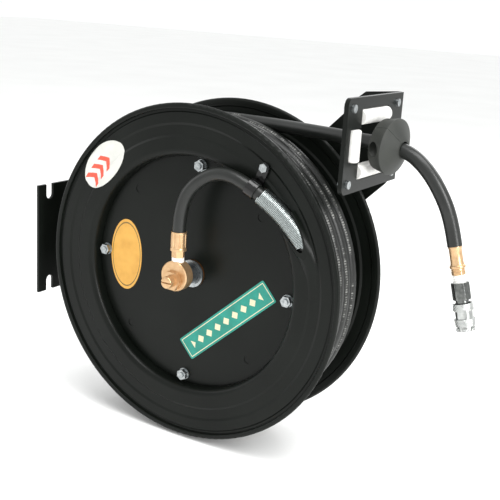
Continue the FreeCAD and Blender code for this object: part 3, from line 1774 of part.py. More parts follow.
outlet_ferrule = crimped_ferrule(
    "outlet_ferrule", cell("outlet_ferrule_radius"), as_size(0), cell("outlet_ferrule_length"), tail_bore, False
)
outlet_hex = cell("outlet_ferrule_length") + seat
outlet_hex_end = outlet_hex + cell("outlet_stem_hex_height")
coupler_start = outlet_hex_end + cell("outlet_tape_height")
thread_end = coupler_start + cell("coupler_thread_depth")
outlet_nipple = piece("outlet_nipple")
drawn = sketch(outlet_nipple)
outline(
    drawn,
    [
        (cell("stem_bore"), as_size(1)),
        (cell("stem_tail_radius"), as_size(1)),
        (cell("stem_tail_radius"), outlet_hex),
        (cell("thread_radius"), outlet_hex),
        (cell("thread_radius"), thread_end),
        (cell("stem_bore"), thread_end),
    ],
)
spin(outlet_nipple, drawn)
drawn = sketch(outlet_nipple, "XZ_Plane", -outlet_hex_end)
hexagon(drawn, cell("stem_hex_across"), 10)
round_hole(drawn, 0, 0, cell("thread_radius") - 1)
pad(outlet_nipple, drawn, cell("outlet_stem_hex_height"))
outlet_tape = turned(
    "outlet_thread_tape",
    tube_points(tape_inner, cell("thread_radius") + 0.6, outlet_hex_end + running, coupler_start - running),
)

hex_length = cell("coupler_hex_length")
tube = cell("coupler_tube_radius")
sleeve_start = coupler_start + hex_length + cell("sleeve_travel") + cell("sleeve_back_gap")
sleeve_end = sleeve_start + cell("sleeve_length")
nose_start = sleeve_end + seat
nose_end = nose_start + cell("coupler_nose_length")
socket = cell("socket_radius")
socket_bottom = nose_end - cell("socket_depth")
seat_bottom = socket_bottom - cell("valve_seat_length")
chamber = socket - 0.4
stop_start = sleeve_start + cell("ring_steel") / 2
stop_end = stop_start + cell("ring_steel")
chamber_wall = cell("sleeve_radius") - cell("sleeve_wall")
stop_radius = chamber_wall - seat
coupler_body = piece("coupler_body")
drawn = sketch(coupler_body)
outline(
    drawn,
    [
        (cell("thread_radius") + running, coupler_start),
        (tube, coupler_start),
        (tube, stop_start),
        (stop_radius, stop_start),
        (stop_radius, stop_end),
        (tube, stop_end),
        (tube, nose_start),
        (cell("coupler_nose_radius"), nose_start),
        (cell("coupler_nose_radius"), nose_end - 0.8),
        (cell("coupler_nose_radius") - 0.8, nose_end),
        (socket, nose_end),
        (socket, socket_bottom),
        (cell("valve_stem_radius") + 1, socket_bottom),
        (cell("valve_stem_radius") + 1, seat_bottom),
        (chamber, seat_bottom),
        (chamber, thread_end + cell("valve_room")),
        (cell("stem_bore"), thread_end + cell("valve_room")),
        (cell("stem_bore"), thread_end + seat),
        (cell("thread_radius") + running, thread_end + seat),
    ],
)
spin(coupler_body, drawn)
drawn = sketch(coupler_body, "XZ_Plane", -(coupler_start + hex_length))
hexagon(drawn, cell("coupler_hex_across"), 12)
round_hole(drawn, 0, 0, tube - 0.5)
pad(coupler_body, drawn, hex_length)
ball_radius = cell("lock_ball_diameter") / 2
ball_at = nose_start - cell("lock_ball_setback")
ball_ring = socket + ball_radius + running
drawn = sketch(coupler_body, "XY_Plane")
round_hole(drawn, 0, ball_at, ball_radius + running)
pocket(coupler_body, drawn, cell("coupler_nose_radius"), back=True)
polar(coupler_body, 3)

lock_balls = piece("coupler_balls")
drawn = sketch(lock_balls, "YZ_Plane")
flat = ball_radius * 0.5
round_side = ball_radius * 0.866
outline(
    drawn,
    [
        (ball_at - round_side, ball_ring - flat),
        (ball_at - flat, ball_ring - round_side),
        (ball_at + flat, ball_ring - round_side),
        (ball_at + round_side, ball_ring - flat),
        (ball_at + round_side, ball_ring + flat),
        (ball_at + flat, ball_ring + round_side),
        (ball_at - flat, ball_ring + round_side),
        (ball_at - round_side, ball_ring + flat),
    ],
)
pad(lock_balls, drawn, ball_radius * 1.2, centred=True)
polar(lock_balls, 3)

slide = tube + running
groove_front = sleeve_start + cell("sleeve_length") * 0.42
groove_back = groove_front + cell("sleeve_groove")
groove_floor = cell("sleeve_radius") - cell("sleeve_groove_depth")
land_start = stop_end + cell("sleeve_spring_room")
land_end = ball_at - ball_radius - running
ball_room = ball_ring + ball_radius + running
coupler_sleeve = turned(
    "coupler_sleeve",
    [
        (chamber_wall, sleeve_start),
        (cell("sleeve_radius") - 0.6, sleeve_start),
        (cell("sleeve_radius"), sleeve_start + 0.6),
        (cell("sleeve_radius"), groove_front),
        (groove_floor, groove_front),
        (groove_floor, groove_back),
        (cell("sleeve_radius"), groove_back),
        (cell("sleeve_radius"), sleeve_end - 0.6),
        (cell("sleeve_radius") - 0.6, sleeve_end),
        (ball_room, sleeve_end),
        (ball_room, land_end),
        (slide, land_end),
        (slide, land_start),
        (chamber_wall, land_start),
    ],
)
valve_reach = socket_bottom - cell("valve_setback")
coupler_valve = turned(
    "coupler_valve",
    [
        (as_size(0), seat_bottom - seat - cell("valve_head_length")),
        (chamber - running, seat_bottom - seat - cell("valve_head_length")),
        (chamber - running, seat_bottom - seat),
        (cell("valve_stem_radius"), seat_bottom - seat),
        (cell("valve_stem_radius"), valve_reach),
        (as_size(0), valve_reach),
    ],
)

sleeve_wire = sheet.sleeve_spring_wire
sleeve_turns = int(sheet.sleeve_spring_curls)
sleeve_pitch = (sheet.sleeve_spring_room - sheet.seat_gap * 2 - sleeve_wire * 1.5) / sleeve_turns
sleeve_coil_radius = (tube.value + chamber_wall.value) / 2
sleeve_coil_start = stop_end.value + sheet.seat_gap + sleeve_wire * 0.75
sleeve_coil = straight_coil(
    "sleeve spring", sleeve_coil_radius, sleeve_pitch, sleeve_turns, sleeve_wire, sleeve_coil_start
)
sleeve_spring = feature_from("coupler_sleeve_spring", sleeve_coil)
valve_back = seat_bottom.value - sheet.seat_gap - sheet.valve_head_length
valve_room = valve_back - thread_end.value - sheet.valve_room
valve_turns = int(sheet.valve_spring_curls)
valve_pitch = (valve_room - sheet.seat_gap * 2 - sleeve_wire * 1.5) / valve_turns
valve_coil_radius = chamber.value - sleeve_wire
valve_coil_start = thread_end.value + sheet.valve_room + sheet.seat_gap + sleeve_wire * 0.75
valve_coil = straight_coil(
    "valve spring", valve_coil_radius, valve_pitch, valve_turns, sleeve_wire, valve_coil_start
)
valve_spring = feature_from("coupler_valve_spring", valve_coil)

# Where each piece stands.

for body in (
    front_flange,
    back_flange,
    spring_cover,
    spring_case,
    cover_bolts,
    cover_washers,
    cover_nuts,
    spring_arbor,
    arbor_key,
    front_bushing,
    rear_bushing,
    hub_washer,
    retaining_ring,
    shaft,
    shaft_nut,
    ratchet_wheel,
    swivel_body,
    swivel_seals,
    swivel_plug,
    clip_screw,
    bracket,
    arm,
    front_plate,
    screws,
    nuts,
    pins,
    arm_bolts,
    arm_nuts,
    drum_core,
    hose_inner_layer,
):
    in_drum_frame(body)

for body in (pawl, pawl_pivot):
    in_drum_frame(body, 0.0, pawl_reach, pawl_up)

for body in (nipple, ferrule, tape):
    in_drum_frame(body, port)
    body.Placement = FreeCAD.Placement(body.Placement.Base, upright)

in_drum_frame(top_roller, cell("head_setback"), plate_front, head_up + cell("roller_up"))
in_drum_frame(bottom_roller, cell("head_setback"), plate_front, head_up - cell("roller_up"))
in_drum_frame(near_roller, cell("head_setback") - cell("roller_side"), plate_front, head_up)
in_drum_frame(far_roller, cell("head_setback") + cell("roller_side"), plate_front, head_up)
for body in (near_roller, far_roller):
    body.Placement = FreeCAD.Placement(body.Placement.Base, upright)

for body in (ball_near, ball_far, ball_screws, ball_nuts):
    on_outlet(body, ball_centre, ball_way)

for body in (
    outlet_ferrule,
    outlet_nipple,
    outlet_tape,
    coupler_body,
    lock_balls,
    coupler_sleeve,
    coupler_valve,
    sleeve_spring,
    valve_spring,
):
    on_outlet(body, outlet_end, outlet_way)

made += [front_flange, drum_core, hose_inner_layer]
doc.recompute()

faults = []
for item in doc.Objects:
    if "Invalid" in item.State or "Error" in item.State:
        faults.append(item.Label)
for item in made:
    if item.Shape.isNull() or not item.Shape.isValid():
        faults.append(item.Label)
if faults:
    raise RuntimeError(f"these pieces failed: {faults}")

for item in made:
    item.Shape.exportStep(f"parts/{item.Label}.step")
print("pieces written:", len(made))
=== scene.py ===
import bpy
import bmesh
import math
from mathutils import Euler, Matrix, Vector


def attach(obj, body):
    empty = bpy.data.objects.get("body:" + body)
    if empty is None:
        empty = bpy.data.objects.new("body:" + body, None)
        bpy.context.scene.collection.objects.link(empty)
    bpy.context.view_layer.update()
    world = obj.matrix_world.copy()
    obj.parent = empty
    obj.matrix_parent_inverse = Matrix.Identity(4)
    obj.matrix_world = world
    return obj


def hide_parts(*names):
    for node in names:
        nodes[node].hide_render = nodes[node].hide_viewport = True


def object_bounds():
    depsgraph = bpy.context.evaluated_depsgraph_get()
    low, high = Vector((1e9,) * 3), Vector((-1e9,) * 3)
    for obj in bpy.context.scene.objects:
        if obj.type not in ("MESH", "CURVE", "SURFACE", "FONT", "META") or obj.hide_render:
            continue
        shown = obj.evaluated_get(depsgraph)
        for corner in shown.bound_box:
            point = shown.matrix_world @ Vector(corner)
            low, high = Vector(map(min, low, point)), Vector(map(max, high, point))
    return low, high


# Spring rewind hose reel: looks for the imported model.
# Sizes are millimetres in the drum's own frame: x from the shaft, away from the wall, y from the
# front rim to the back, z up. A length with a note of metres, and a tree's inputs, are metres.

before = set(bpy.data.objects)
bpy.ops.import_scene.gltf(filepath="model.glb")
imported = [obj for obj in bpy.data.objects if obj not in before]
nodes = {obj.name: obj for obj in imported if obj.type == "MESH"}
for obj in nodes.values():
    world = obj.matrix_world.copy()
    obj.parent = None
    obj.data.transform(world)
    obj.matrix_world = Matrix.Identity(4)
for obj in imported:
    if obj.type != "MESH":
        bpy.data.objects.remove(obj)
cadLow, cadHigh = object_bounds()
scene = bpy.context.scene

drum = {
    "axisReach": 264.0,    # wall to shaft
    "rimSetback": 79.0,    # front rim to the middle of the wall plate
    "coverSetback": 21.0,  # front rim to the face of the spring cover
}


def metres(x, y, z):
    # a point of the drum's frame, in the frame of the whole object
    return Vector((x + drum["axisReach"], y - drum["rimSetback"], z)) / 1000


# camera

camera = {
    "azimuth": 30.308,
    "elevation": 15.056,
    "roll": 3.641,
    "place": (645.535, -936.81, 346.506),
    "focalPixels": 905.438,
    "framePixels": 500,
    "sensor": 36.0,
    "clip": (0.05, 60.0),    # metres
}


def makeCamera():
    side = math.radians(camera["azimuth"])
    up = math.radians(camera["elevation"])
    back = Vector((math.sin(side) * math.cos(up), -math.cos(side) * math.cos(up), math.sin(up)))
    right = (-back).cross(Vector((0, 0, 1))).normalized()
    above = right.cross(-back)
    roll = math.radians(camera["roll"])
    right, above = (
        math.cos(roll) * right + math.sin(roll) * above,
        -math.sin(roll) * right + math.cos(roll) * above,
    )
    data = bpy.data.cameras.new("photoCamera")
    data.sensor_width = camera["sensor"]
    data.lens = camera["focalPixels"] / camera["framePixels"] * camera["sensor"]
    data.clip_start, data.clip_end = camera["clip"]
    eye = bpy.data.objects.new("photoCamera", data)
    scene.collection.objects.link(eye)
    turn = Matrix((right, above, back)).transposed().to_4x4()
    eye.matrix_world = Matrix.Translation(metres(*camera["place"])) @ turn
    scene.camera = eye


makeCamera()
print("camera set")


# hoses: one NURBS curve each, through the points of its route

outletHose = {
    "points": (
        (17.5, 97.6, 199.25), (62, 97.6, 199.25), (206, 62.5, 200.2), (267.3, 53.2, 197.7),
        (298.6, 48.1, 178), (322, 46.9, 147.2), (332.8, 51.9, 118.4), (339.2, 51.2, 95.4),
    ),
    "diameter": 17.5,
}
jumperHose = {
    "points": (
        (0, -14.5, 63.3), (0, -14.5, 96.0), (19, -13.5, 130), (58, -11, 150.5),
        (105, -9.3, 133.5), (150, 3.5, 98), (181, 16, 47), (186.5, 17, 8),
    ),
    "diameter": 17.5,
}


def seatPiece(piece, body, stoodFor):
    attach(piece, body)
    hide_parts(stoodFor)


def makeLine(name, points, radius):
    curve = bpy.data.curves.new(name, "CURVE")
    curve.dimensions = "3D"
    spline = curve.splines.new("NURBS")
    spline.points.add(len(points) - 1)
    for point, place in zip(spline.points, points):
        point.co = (*metres(*place), 1)
        point.radius = radius
    spline.order_u = 3
    spline.use_endpoint_u = True
    spline.resolution_u = 24
    line = bpy.data.objects.new(name, curve)
    scene.collection.objects.link(line)
    return line


def makeHose(name, hose, body, stoodFor):
    piece = makeLine(name, hose["points"], hose["diameter"] / 2000)
    piece.data.bevel_depth = 1    # times each point's radius
    piece.data.bevel_resolution = 10
    piece.data.use_fill_caps = True
    seatPiece(piece, body, stoodFor)
    return piece


def pathOf(hose):
    # points of the line that the curve really follows
    probe = makeLine("probe", hose["points"], 1)
    bpy.context.view_layer.update()
    mesh = bpy.data.meshes.new_from_object(probe)
    points = [vertex.co.copy() for vertex in mesh.vertices]
    bpy.data.objects.remove(probe)
    bpy.data.meshes.remove(mesh)
    return points


def lengthOf(hose):
    points = pathOf(hose)
    return sum((b - a).length for a, b in zip(points, points[1:]))


def placeOn(hose, along):
    # the point and direction at a distance down a hose's line
    points = pathOf(hose)
    left = along / 1000
    for a, b in zip(points, points[1:]):
        step = (b - a).length
        if left <= step:
            return a + (b - a) * left / step, (b - a).normalized()
        left -= step
    return points[-1], (points[-1] - points[-2]).normalized()


outlet = makeHose("outletHose", outletHose, "bracket", "outlet_hose")
outletLength = lengthOf(outletHose)
print(f"outlet hose {outletLength * 1000:.1f} mm")

jumper = makeHose("jumperHose", jumperHose, "drum", "jumper_hose")
jumperLength = lengthOf(jumperHose)
print(f"jumper hose {jumperLength * 1000:.1f} mm")


# helpers

def linear(hexColour):
    # sRGB hex to the linear values that the shaders want
    values = []
    for start in (1, 3, 5):
        part = int(hexColour[start:start + 2], 16) / 255
        values.append(part / 12.92 if part <= 0.04045 else ((part + 0.055) / 1.055) ** 2.4)
    return (*values, 1.0)


def addNode(tree, kind, plugs=None, stops=None, **settings):
    # one node with its settings, its values or links by socket, and a ramp's stops
    node = tree.nodes.new(kind)
    for name, value in settings.items():
        setattr(node, name, value)
    for socket, value in (plugs or {}).items():
        if isinstance(value, bpy.types.Node):
            value = value.outputs[0]
        if isinstance(value, bpy.types.NodeSocket):
            tree.links.new(value, node.inputs[socket])
        else:
            node.inputs[socket].default_value = value
    for number, (place, tone) in enumerate(stops or ()):
        elements = node.color_ramp.elements
        if number >= len(elements):
            elements.new(place)
        elements[number].position = place
        elements[number].color = linear(tone) if isinstance(tone, str) else (tone, tone, tone, 1)
    return node


# materials: each is one of these coats, and some draw a print, dust or a knurl as well

coats = {
    # mottle and grain are a noise's scale, so many to the metre, and its detail
    # relief is a bump's strength and its depth in metres

    # stoved black enamel on pressed sheet: satin, with a faint orange peel, soft patches and dust
    "blackEnamel": {
        "mottle": (11, 4),     # patches of 90 mm
        "grain": (420, 2),     # orange peel of 2.4 mm
        "colours": ((0.3, "#0A0D0A"), (0.7, "#111411")),
        "gloss": (0.26, 0.4),
        "relief": (0.1, 0.0003),
        "shader": {"Specular IOR Level": 0.17},
        "wearers": (
            "wall_bracket", "guide_arm", "roller_front_plate", "front_flange", "back_flange",
            "drum_core", "spring_case", "spring_cover",
        ),
    },
    # dipped gloss enamel on the clip's band: black, wet-looking, thin at its edges
    "clipEnamel": {
        "mottle": (240, 3),    # runs of 4 mm
        "colours": ((0.3, "#040404"), (0.7, "#0A0A0A")),
        "gloss": (0.1, 0.22),
        "relief": (0.25, 0.0006),
        "wearers": ("hose_clip",),
    },
    # moulded hard rubber: dull grey-black with a spark-eroded grain
    "mouldedRubber": {
        "mottle": (45, 4),     # bloom of 22 mm
        "grain": (800, 3),     # 1.2 mm, coarser than the real 0.3 mm so that it shows
        "colours": ((0.3, "#252724"), (0.75, "#30322E")),
        "gloss": (0.5, 0.64),
        "relief": (0.22, 0.0004),
        "shader": {"Specular IOR Level": 0.4},
        "wearers": ("ball_stop_near_half", "ball_stop_far_half", "clip_cushion"),
    },
    # bar brass off the lathe: warm yellow with turning marks, slightly dulled by hands
    "turnedBrass": {
        "mottle": (150, 5),    # stains of 7 mm
        "grain": (1600, 2),    # 0.6 mm, coarser than the real marks of 0.1 mm so that they show
        "colours": ((0.25, "#C09A70"), (0.75, "#D6B48C")),
        "gloss": (0.24, 0.36),
        "relief": (0.08, 0.0003),
        "shader": {"Metallic": 0.8},
        "wearers": (
            "outlet_ferrule", "outlet_nipple", "swivel_body", "swivel_plug", "jumper_nipple",
            "jumper_ferrule", "coupler_valve",
        ),
    },
    # sintered bronze: matt brown with open pores
    "bronzeBush": {
        "mottle": (1400, 3),   # 0.7 mm, coarser than the real pores of 0.05 mm so that they show
        "colours": ((0.3, "#6E4A2C"), (0.7, "#93683F")),
        "gloss": (0.45, 0.6),
        "relief": (0.15, 0.0003),
        "shader": {"Metallic": 1.0},
        "wearers": ("front_bushing", "rear_bushing"),
    },
    # bright zinc plating: pale blue-grey with a soft crystal mottle
    "zincPlate": {
        "mottle": (260, 4),    # 4 mm
        "crystals": 700,       # 1.4 mm, coarser than the real 0.2 mm so that they show
        "colours": ((0.3, "#8F9496"), (0.7, "#BCC0C1")),
        "gloss": (0.22, 0.42),
        "relief": (0.08, 0.0003),
        "shader": {"Metallic": 1.0},
        "wearers": (
            "roller_plate_screws", "roller_plate_nuts", "arm_bolts", "arm_nuts", "shaft_nut",
            "roller_pins", "ball_stop_screws", "ball_stop_nuts", "pawl_pivot", "cover_bolts",
            "cover_nuts", "cover_washers", "hub_washer", "clip_screw",
        ),
    },
    # nickel-chrome on a machined body, with a thin haze; its colour is darkened well below the
    # sleeve's chrome, as painted shade for its hex
    "chromeInPaintedShade": {
        "mottle": (340, 3),    # 3 mm
        "colours": ((0.3, "#5E605E"), (0.7, "#7C7E7C")),
        "gloss": (0.12, 0.22),
        "shader": {"Metallic": 1.0},
        "wearers": ("coupler_body",),
    },
    # the coupler's sleeve: the same chrome without the body's painted shade, so brighter, with a
    # diamond knurl rolled into its two bands
    "knurledChrome": {
        "mottle": (340, 3),    # 3 mm
        "colours": ((0.3, "#A6A8A6"), (0.7, "#C8CAC8")),
        "gloss": (0.16, 0.28),
        "relief": (0.8, 0.0005),
        "shader": {"Metallic": 1.0},
        "wearers": ("coupler_sleeve",),
    },
    # drawn spring wire, galvanised: mid grey with draw lines
    "springWire": {
        "mottle": (800, 2),    # 1.2 mm, coarser than the real lines of 0.1 mm so that they show
        "colours": ((0.3, "#959B9B"), (0.7, "#BAC1C0")),
        "gloss": (0.2, 0.34),
        "shader": {"Metallic": 1.0},
        "wearers": (
            "hose_guard", "power_spring", "pawl_spring", "coupler_sleeve_spring",
            "coupler_valve_spring",
        ),
    },
    # oiled bare steel, cut and left dark
    "plainSteel": {
        "mottle": (90, 5),     # oil in patches of 11 mm
        "colours": ((0.3, "#55585A"), (0.7, "#7C8082")),
        "gloss": (0.34, 0.52),
        "shader": {"Metallic": 1.0},
        "wearers": (
            "shaft", "spring_arbor", "arbor_key", "retaining_ring", "coupler_balls",
            "ratchet_wheel", "ratchet_pawl",
        ),
    },
    # turned nylon: milky, with faint tool marks and a little light under its skin
    "whiteNylon": {
        "mottle": (110, 4),    # 9 mm
        "grain": (1300, 2),    # 0.8 mm, coarser than the real marks of 0.2 mm so that they show
        "colours": ((0.3, "#CDCCC8"), (0.7, "#DEDDDA")),
        "gloss": (0.38, 0.5),
        "relief": (0.08, 0.0003),
        "shader": {"Subsurface Weight": 0.12, "Subsurface Radius": (0.004, 0.004, 0.004)},
        "wearers": ("top_roller", "bottom_roller", "near_roller", "far_roller"),
    },
    # wound sealing tape: white, soft, with the ragged edges of its turns
    "sealingTape": {
        "mottle": (700, 3),    # 1.4 mm
        "colours": ((0.3, "#DADAD6"), (0.7, "#F5F4F0")),
        "gloss": (0.5, 0.7),
        "relief": (0.6, 0.0006),
        "wearers": ("jumper_thread_tape", "outlet_thread_tape"),
    },
    # nitrile seal rings: black, smooth, lightly greased
    "sealRubber": {
        "mottle": (600, 2),    # 1.7 mm
        "colours": ((0.3, "#101011"), (0.7, "#1B1B1C")),
        "gloss": (0.25, 0.45),
        "wearers": ("swivel_seals",),
    },
    # extruded rubber cover: dull black with the faint print of the cloth that it was cured in
    "hoseRubber": {
        "mottle": (26, 4),     # bloom of 40 mm
        "grain": (900, 2),     # cloth of 1.1 mm
        "colours": ((0.3, "#131513"), (0.75, "#1E201E")),
        "gloss": (0.28, 0.38),
        "relief": (0.12, 0.0005),
        "shader": {"Specular IOR Level": 0.45},
    },
    # the same cover on the drum: duller, with a worn row of pale ticks printed along each turn
    "printedRubber": {
        "mottle": (26, 4),     # both as on the other hoses
        "grain": (900, 2),
        "colours": ((0.3, "#101210"), (0.75, "#191B19")),
        "gloss": (0.32, 0.44),
        "relief": (0.12, 0.0005),
        "shader": {"Specular IOR Level": 0.38},
    },
}


def coat(tree, place, look, inks=(), shine=None, height=None):
    # the mottle gives colour and gloss, and the grain relief, unless a shine or height is given;
    # inks are masks with the colour that each lays over the last
    scale, detail = look["mottle"]
    mottle = addNode(
        tree, "ShaderNodeTexNoise", {"Vector": place, "Scale": scale, "Detail": detail}
    )
    colour = addNode(tree, "ShaderNodeValToRGB", {"Fac": mottle}, stops=look["colours"]).outputs[0]
    for mask, ink in inks:
        colour = addNode(
            tree, "ShaderNodeMix", {"Factor": mask, 6: colour, 7: linear(ink)}, data_type="RGBA"
        ).outputs[2]
    plugs = {"Base Color": colour, **look.get("shader", {})}
    if "gloss" in look:
        low, high = look["gloss"]
        value = mottle if shine is None else shine
        plugs["Roughness"] = addNode(
            tree, "ShaderNodeMapRange", {"Value": value, "To Min": low, "To Max": high}
        )
    if "grain" in look:
        scale, detail = look["grain"]
        height = addNode(
            tree, "ShaderNodeTexNoise", {"Vector": place, "Scale": scale, "Detail": detail}
        )
    if "relief" in look:
        strength, depth = look["relief"]
        height = mottle if height is None else height
        plugs["Normal"] = addNode(
            tree, "ShaderNodeBump", {"Height": height, "Strength": strength, "Distance": depth}
        )
    return addNode(tree, "ShaderNodeBsdfPrincipled", plugs)


def finish(name, look, draw=coat):
    material = bpy.data.materials.new(name)
    material.use_nodes = True
    tree = material.node_tree
    tree.nodes.clear()
    place = addNode(tree, "ShaderNodeTexCoord").outputs["Object"]
    shader = draw(tree, place, look)
    out = addNode(tree, "ShaderNodeOutputMaterial")
    tree.links.new(shader.outputs[0], out.inputs["Surface"])
    return material


def seenFrom(tree, place, spot, turn=Euler()):
    # the place's x, y and z from a spot, after a turn about it
    centred = addNode(tree, "ShaderNodeMapping", {
        "Vector": place,
        "Rotation": tuple(turn),
        "Location": tuple(-(turn.to_matrix() @ spot)),
    })
    return addNode(tree, "ShaderNodeSeparateXYZ", {0: centred}).outputs


def distance(tree, one, two):
    flat = addNode(tree, "ShaderNodeCombineXYZ", {0: one, 1: two})
    return addNode(tree, "ShaderNodeVectorMath", {0: flat}, operation="LENGTH").outputs["Value"]


dust = {
    "noise": (900, 3),       # 1.1 mm, coarser than real dust so that it shows
    "stops": ((0.72, 0.0), (0.8, 1.0)),
    "colour": "#2A2B29",
}


def dustyEnamel(tree, place, look):
    scale, detail = dust["noise"]
    noise = addNode(
        tree, "ShaderNodeTexNoise", {"Vector": place, "Scale": scale, "Detail": detail}
    )
    specks = addNode(tree, "ShaderNodeValToRGB", {"Fac": noise}, stops=dust["stops"])
    return coat(tree, place, look, inks=((specks, dust["colour"]),))


def crystalZinc(tree, place, look):
    crystals = addNode(
        tree, "ShaderNodeTexVoronoi", {"Vector": place, "Scale": look["crystals"]}
    )
    return coat(tree, place, look, shine=crystals)


winding = {
    # the wound hose: turns laid by rule on the drum, from the bottom lead to the top lead
    "Radius": 0.19925,       # metres, axis to the middle of the hose
    "Pitch": 0.018,
    "Turns": 4.5,
    "Setback": 0.0166,       # front rim to the first turn
    "Lead": 0.0175,          # straight ends beyond the turns
    "Hose": 0.0175,
    "Steps": 96,             # points in a turn
    "Sides": 28,             # round the hose
}
printLine = {
    "side": -0.62,           # radians from the outward line towards the front
    "height": 0.17,          # radians, half of 3 mm
    "tick": 0.0032,          # metres from tick to tick
    "tickShare": 0.6,        # of that, inked
    "stretch": 0.13,         # metres from one run of ticks to the next
    "stretchShare": 0.72,    # of that, printed
    "wear": (160, 4),        # rubbed off in patches of 6 mm
    "left": ((0.42, 0.0), (0.62, 0.42)),
    "ink": "#B9B9B4",
}


def tickedRubber(tree, place, look):
    pitch = winding["Pitch"]
    x, y, z = seenFrom(tree, place, metres(0, 0, 0))
    reach = distance(tree, x, z)
    proud = addNode(
        tree, "ShaderNodeMath", {0: reach, 1: winding["Radius"]}, operation="SUBTRACT"
    )
    around = addNode(tree, "ShaderNodeMath", {0: x, 1: z}, operation="ARCTAN2")    # clockwise
    turn = addNode(
        tree, "ShaderNodeMath", {0: around, 1: 1 / (2 * math.pi), 2: 0.5}, operation="MULTIPLY_ADD"
    )
    back = addNode(tree, "ShaderNodeMath", {0: y, 1: winding["Setback"]}, operation="SUBTRACT")
    lag = addNode(tree, "ShaderNodeMath", {0: turn, 1: -pitch, 2: back}, operation="MULTIPLY_ADD")
    count = addNode(tree, "ShaderNodeMath", {0: lag, 1: pitch}, operation="DIVIDE")
    whole = addNode(tree, "ShaderNodeMath", {0: count}, operation="ROUND")
    aside = addNode(
        tree, "ShaderNodeMath", {0: whole, 1: -pitch, 2: lag}, operation="MULTIPLY_ADD"
    )
    lean = addNode(tree, "ShaderNodeMath", {0: aside, 1: proud}, operation="ARCTAN2")
    off = addNode(tree, "ShaderNodeMath", {0: lean, 1: printLine["side"]}, operation="SUBTRACT")
    ink = addNode(
        tree, "ShaderNodeMath", {0: off, 1: 0.0, 2: printLine["height"]}, operation="COMPARE"
    )
    turns = addNode(tree, "ShaderNodeMath", {0: turn, 1: whole}, operation="ADD")
    run = addNode(
        tree, "ShaderNodeMath", {0: turns, 1: 2 * math.pi * winding["Radius"]}, operation="MULTIPLY"
    )
    for length, share in (("tick", "tickShare"), ("stretch", "stretchShare")):
        steps = addNode(
            tree, "ShaderNodeMath", {0: run, 1: 1 / printLine[length]}, operation="MULTIPLY"
        )
        part = addNode(tree, "ShaderNodeMath", {0: steps}, operation="FRACT")
        on = addNode(tree, "ShaderNodeMath", {0: part, 1: printLine[share]}, operation="LESS_THAN")
        ink = addNode(tree, "ShaderNodeMath", {0: ink, 1: on}, operation="MULTIPLY")
    scale, detail = printLine["wear"]
    wear = addNode(tree, "ShaderNodeTexNoise", {"Vector": place, "Scale": scale, "Detail": detail})
    left = addNode(tree, "ShaderNodeValToRGB", {"Fac": wear}, stops=printLine["left"])
    ink = addNode(tree, "ShaderNodeMath", {0: ink, 1: left}, operation="MULTIPLY")
    return coat(tree, place, look, inks=((ink, printLine["ink"]),))


sleeveGrip = {
    "bandRadius": 0.0112,    # metres: the bands stand proud of this
    "teeth": 48,             # round the sleeve, 1.5 mm apart
    "rise": 0.0015,          # metres along it from tooth to tooth
}
hoseEnd = Vector(outletHose["points"][-1])
hoseWay = (hoseEnd - Vector(outletHose["points"][-2])).normalized()
hoseEnd = metres(*hoseEnd)


def diamondKnurl(tree, place, look):
    upright = hoseWay.rotation_difference(Vector((0, 0, 1))).to_euler()
    x, y, z = seenFrom(tree, place, hoseEnd, upright)
    reach = distance(tree, x, y)
    around = addNode(tree, "ShaderNodeMath", {0: y, 1: x}, operation="ARCTAN2")
    tooth = addNode(
        tree, "ShaderNodeMath", {0: around, 1: sleeveGrip["teeth"] / (2 * math.pi)},
        operation="MULTIPLY",
    )
    along = addNode(tree, "ShaderNodeMath", {0: z, 1: 1 / sleeveGrip["rise"]}, operation="MULTIPLY")
    height = addNode(
        tree, "ShaderNodeMath", {0: reach, 1: sleeveGrip["bandRadius"]}, operation="GREATER_THAN"
    )
    for kind in ("ADD", "SUBTRACT"):
        slant = addNode(tree, "ShaderNodeMath", {0: tooth, 1: along}, operation=kind)
        side = addNode(tree, "ShaderNodeMath", {0: slant, 1: 1.0}, operation="PINGPONG")
        height = addNode(tree, "ShaderNodeMath", {0: height, 1: side}, operation="MULTIPLY")
    return coat(tree, place, look, height=height)


drawn = {
    "blackEnamel": dustyEnamel,
    "zincPlate": crystalZinc,
    "knurledChrome": diamondKnurl,
    "printedRubber": tickedRubber,
}
made = {}
for name, look in coats.items():
    made[name] = finish(name, look, drawn.get(name, coat))
    for wearer in look.get("wearers", ()):
        mesh = nodes[wearer].data
        mesh.materials.clear()
        mesh.materials.append(made[name])
for hose in (outlet, jumper):
    hose.data.materials.append(made["hoseRubber"])
print("materials made")


# turned pieces

def rounded(profile, steps=5):
    # corners given a third number are rounded to that radius
    result = []
    for i, point in enumerate(profile):
        if len(point) == 2:
            result.append(point)
            continue
        corner = Vector(point[:2])
        before = (Vector(profile[i - 1][:2]) - corner).normalized()
        after = (Vector(profile[(i + 1) % len(profile)][:2]) - corner).normalized()
        half = before.angle(after) / 2
        centre = corner + (before + after).normalized() * point[2] / math.sin(half)
        reach = point[2] / math.tan(half)
        first = corner + before * reach - centre
        last = corner + after * reach - centre
        result += [tuple(centre + first.slerp(last, step / steps)) for step in range(steps + 1)]
    return result


def hexagonal(flats, corners, turn=0):
    # the radius of a hexagon by angle, cut by a circle
    def radius(degrees):
        off = (degrees - turn + 30) % 60 - 30
        return min(corners, flats / math.cos(math.radians(off)))
    return radius


def notched(outer, inner, half, turn=0):
    # the radius of a ring with six notches of that half angle
    def radius(degrees):
        return inner if abs((degrees - turn) % 60 - 30) < half else outer
    return radius


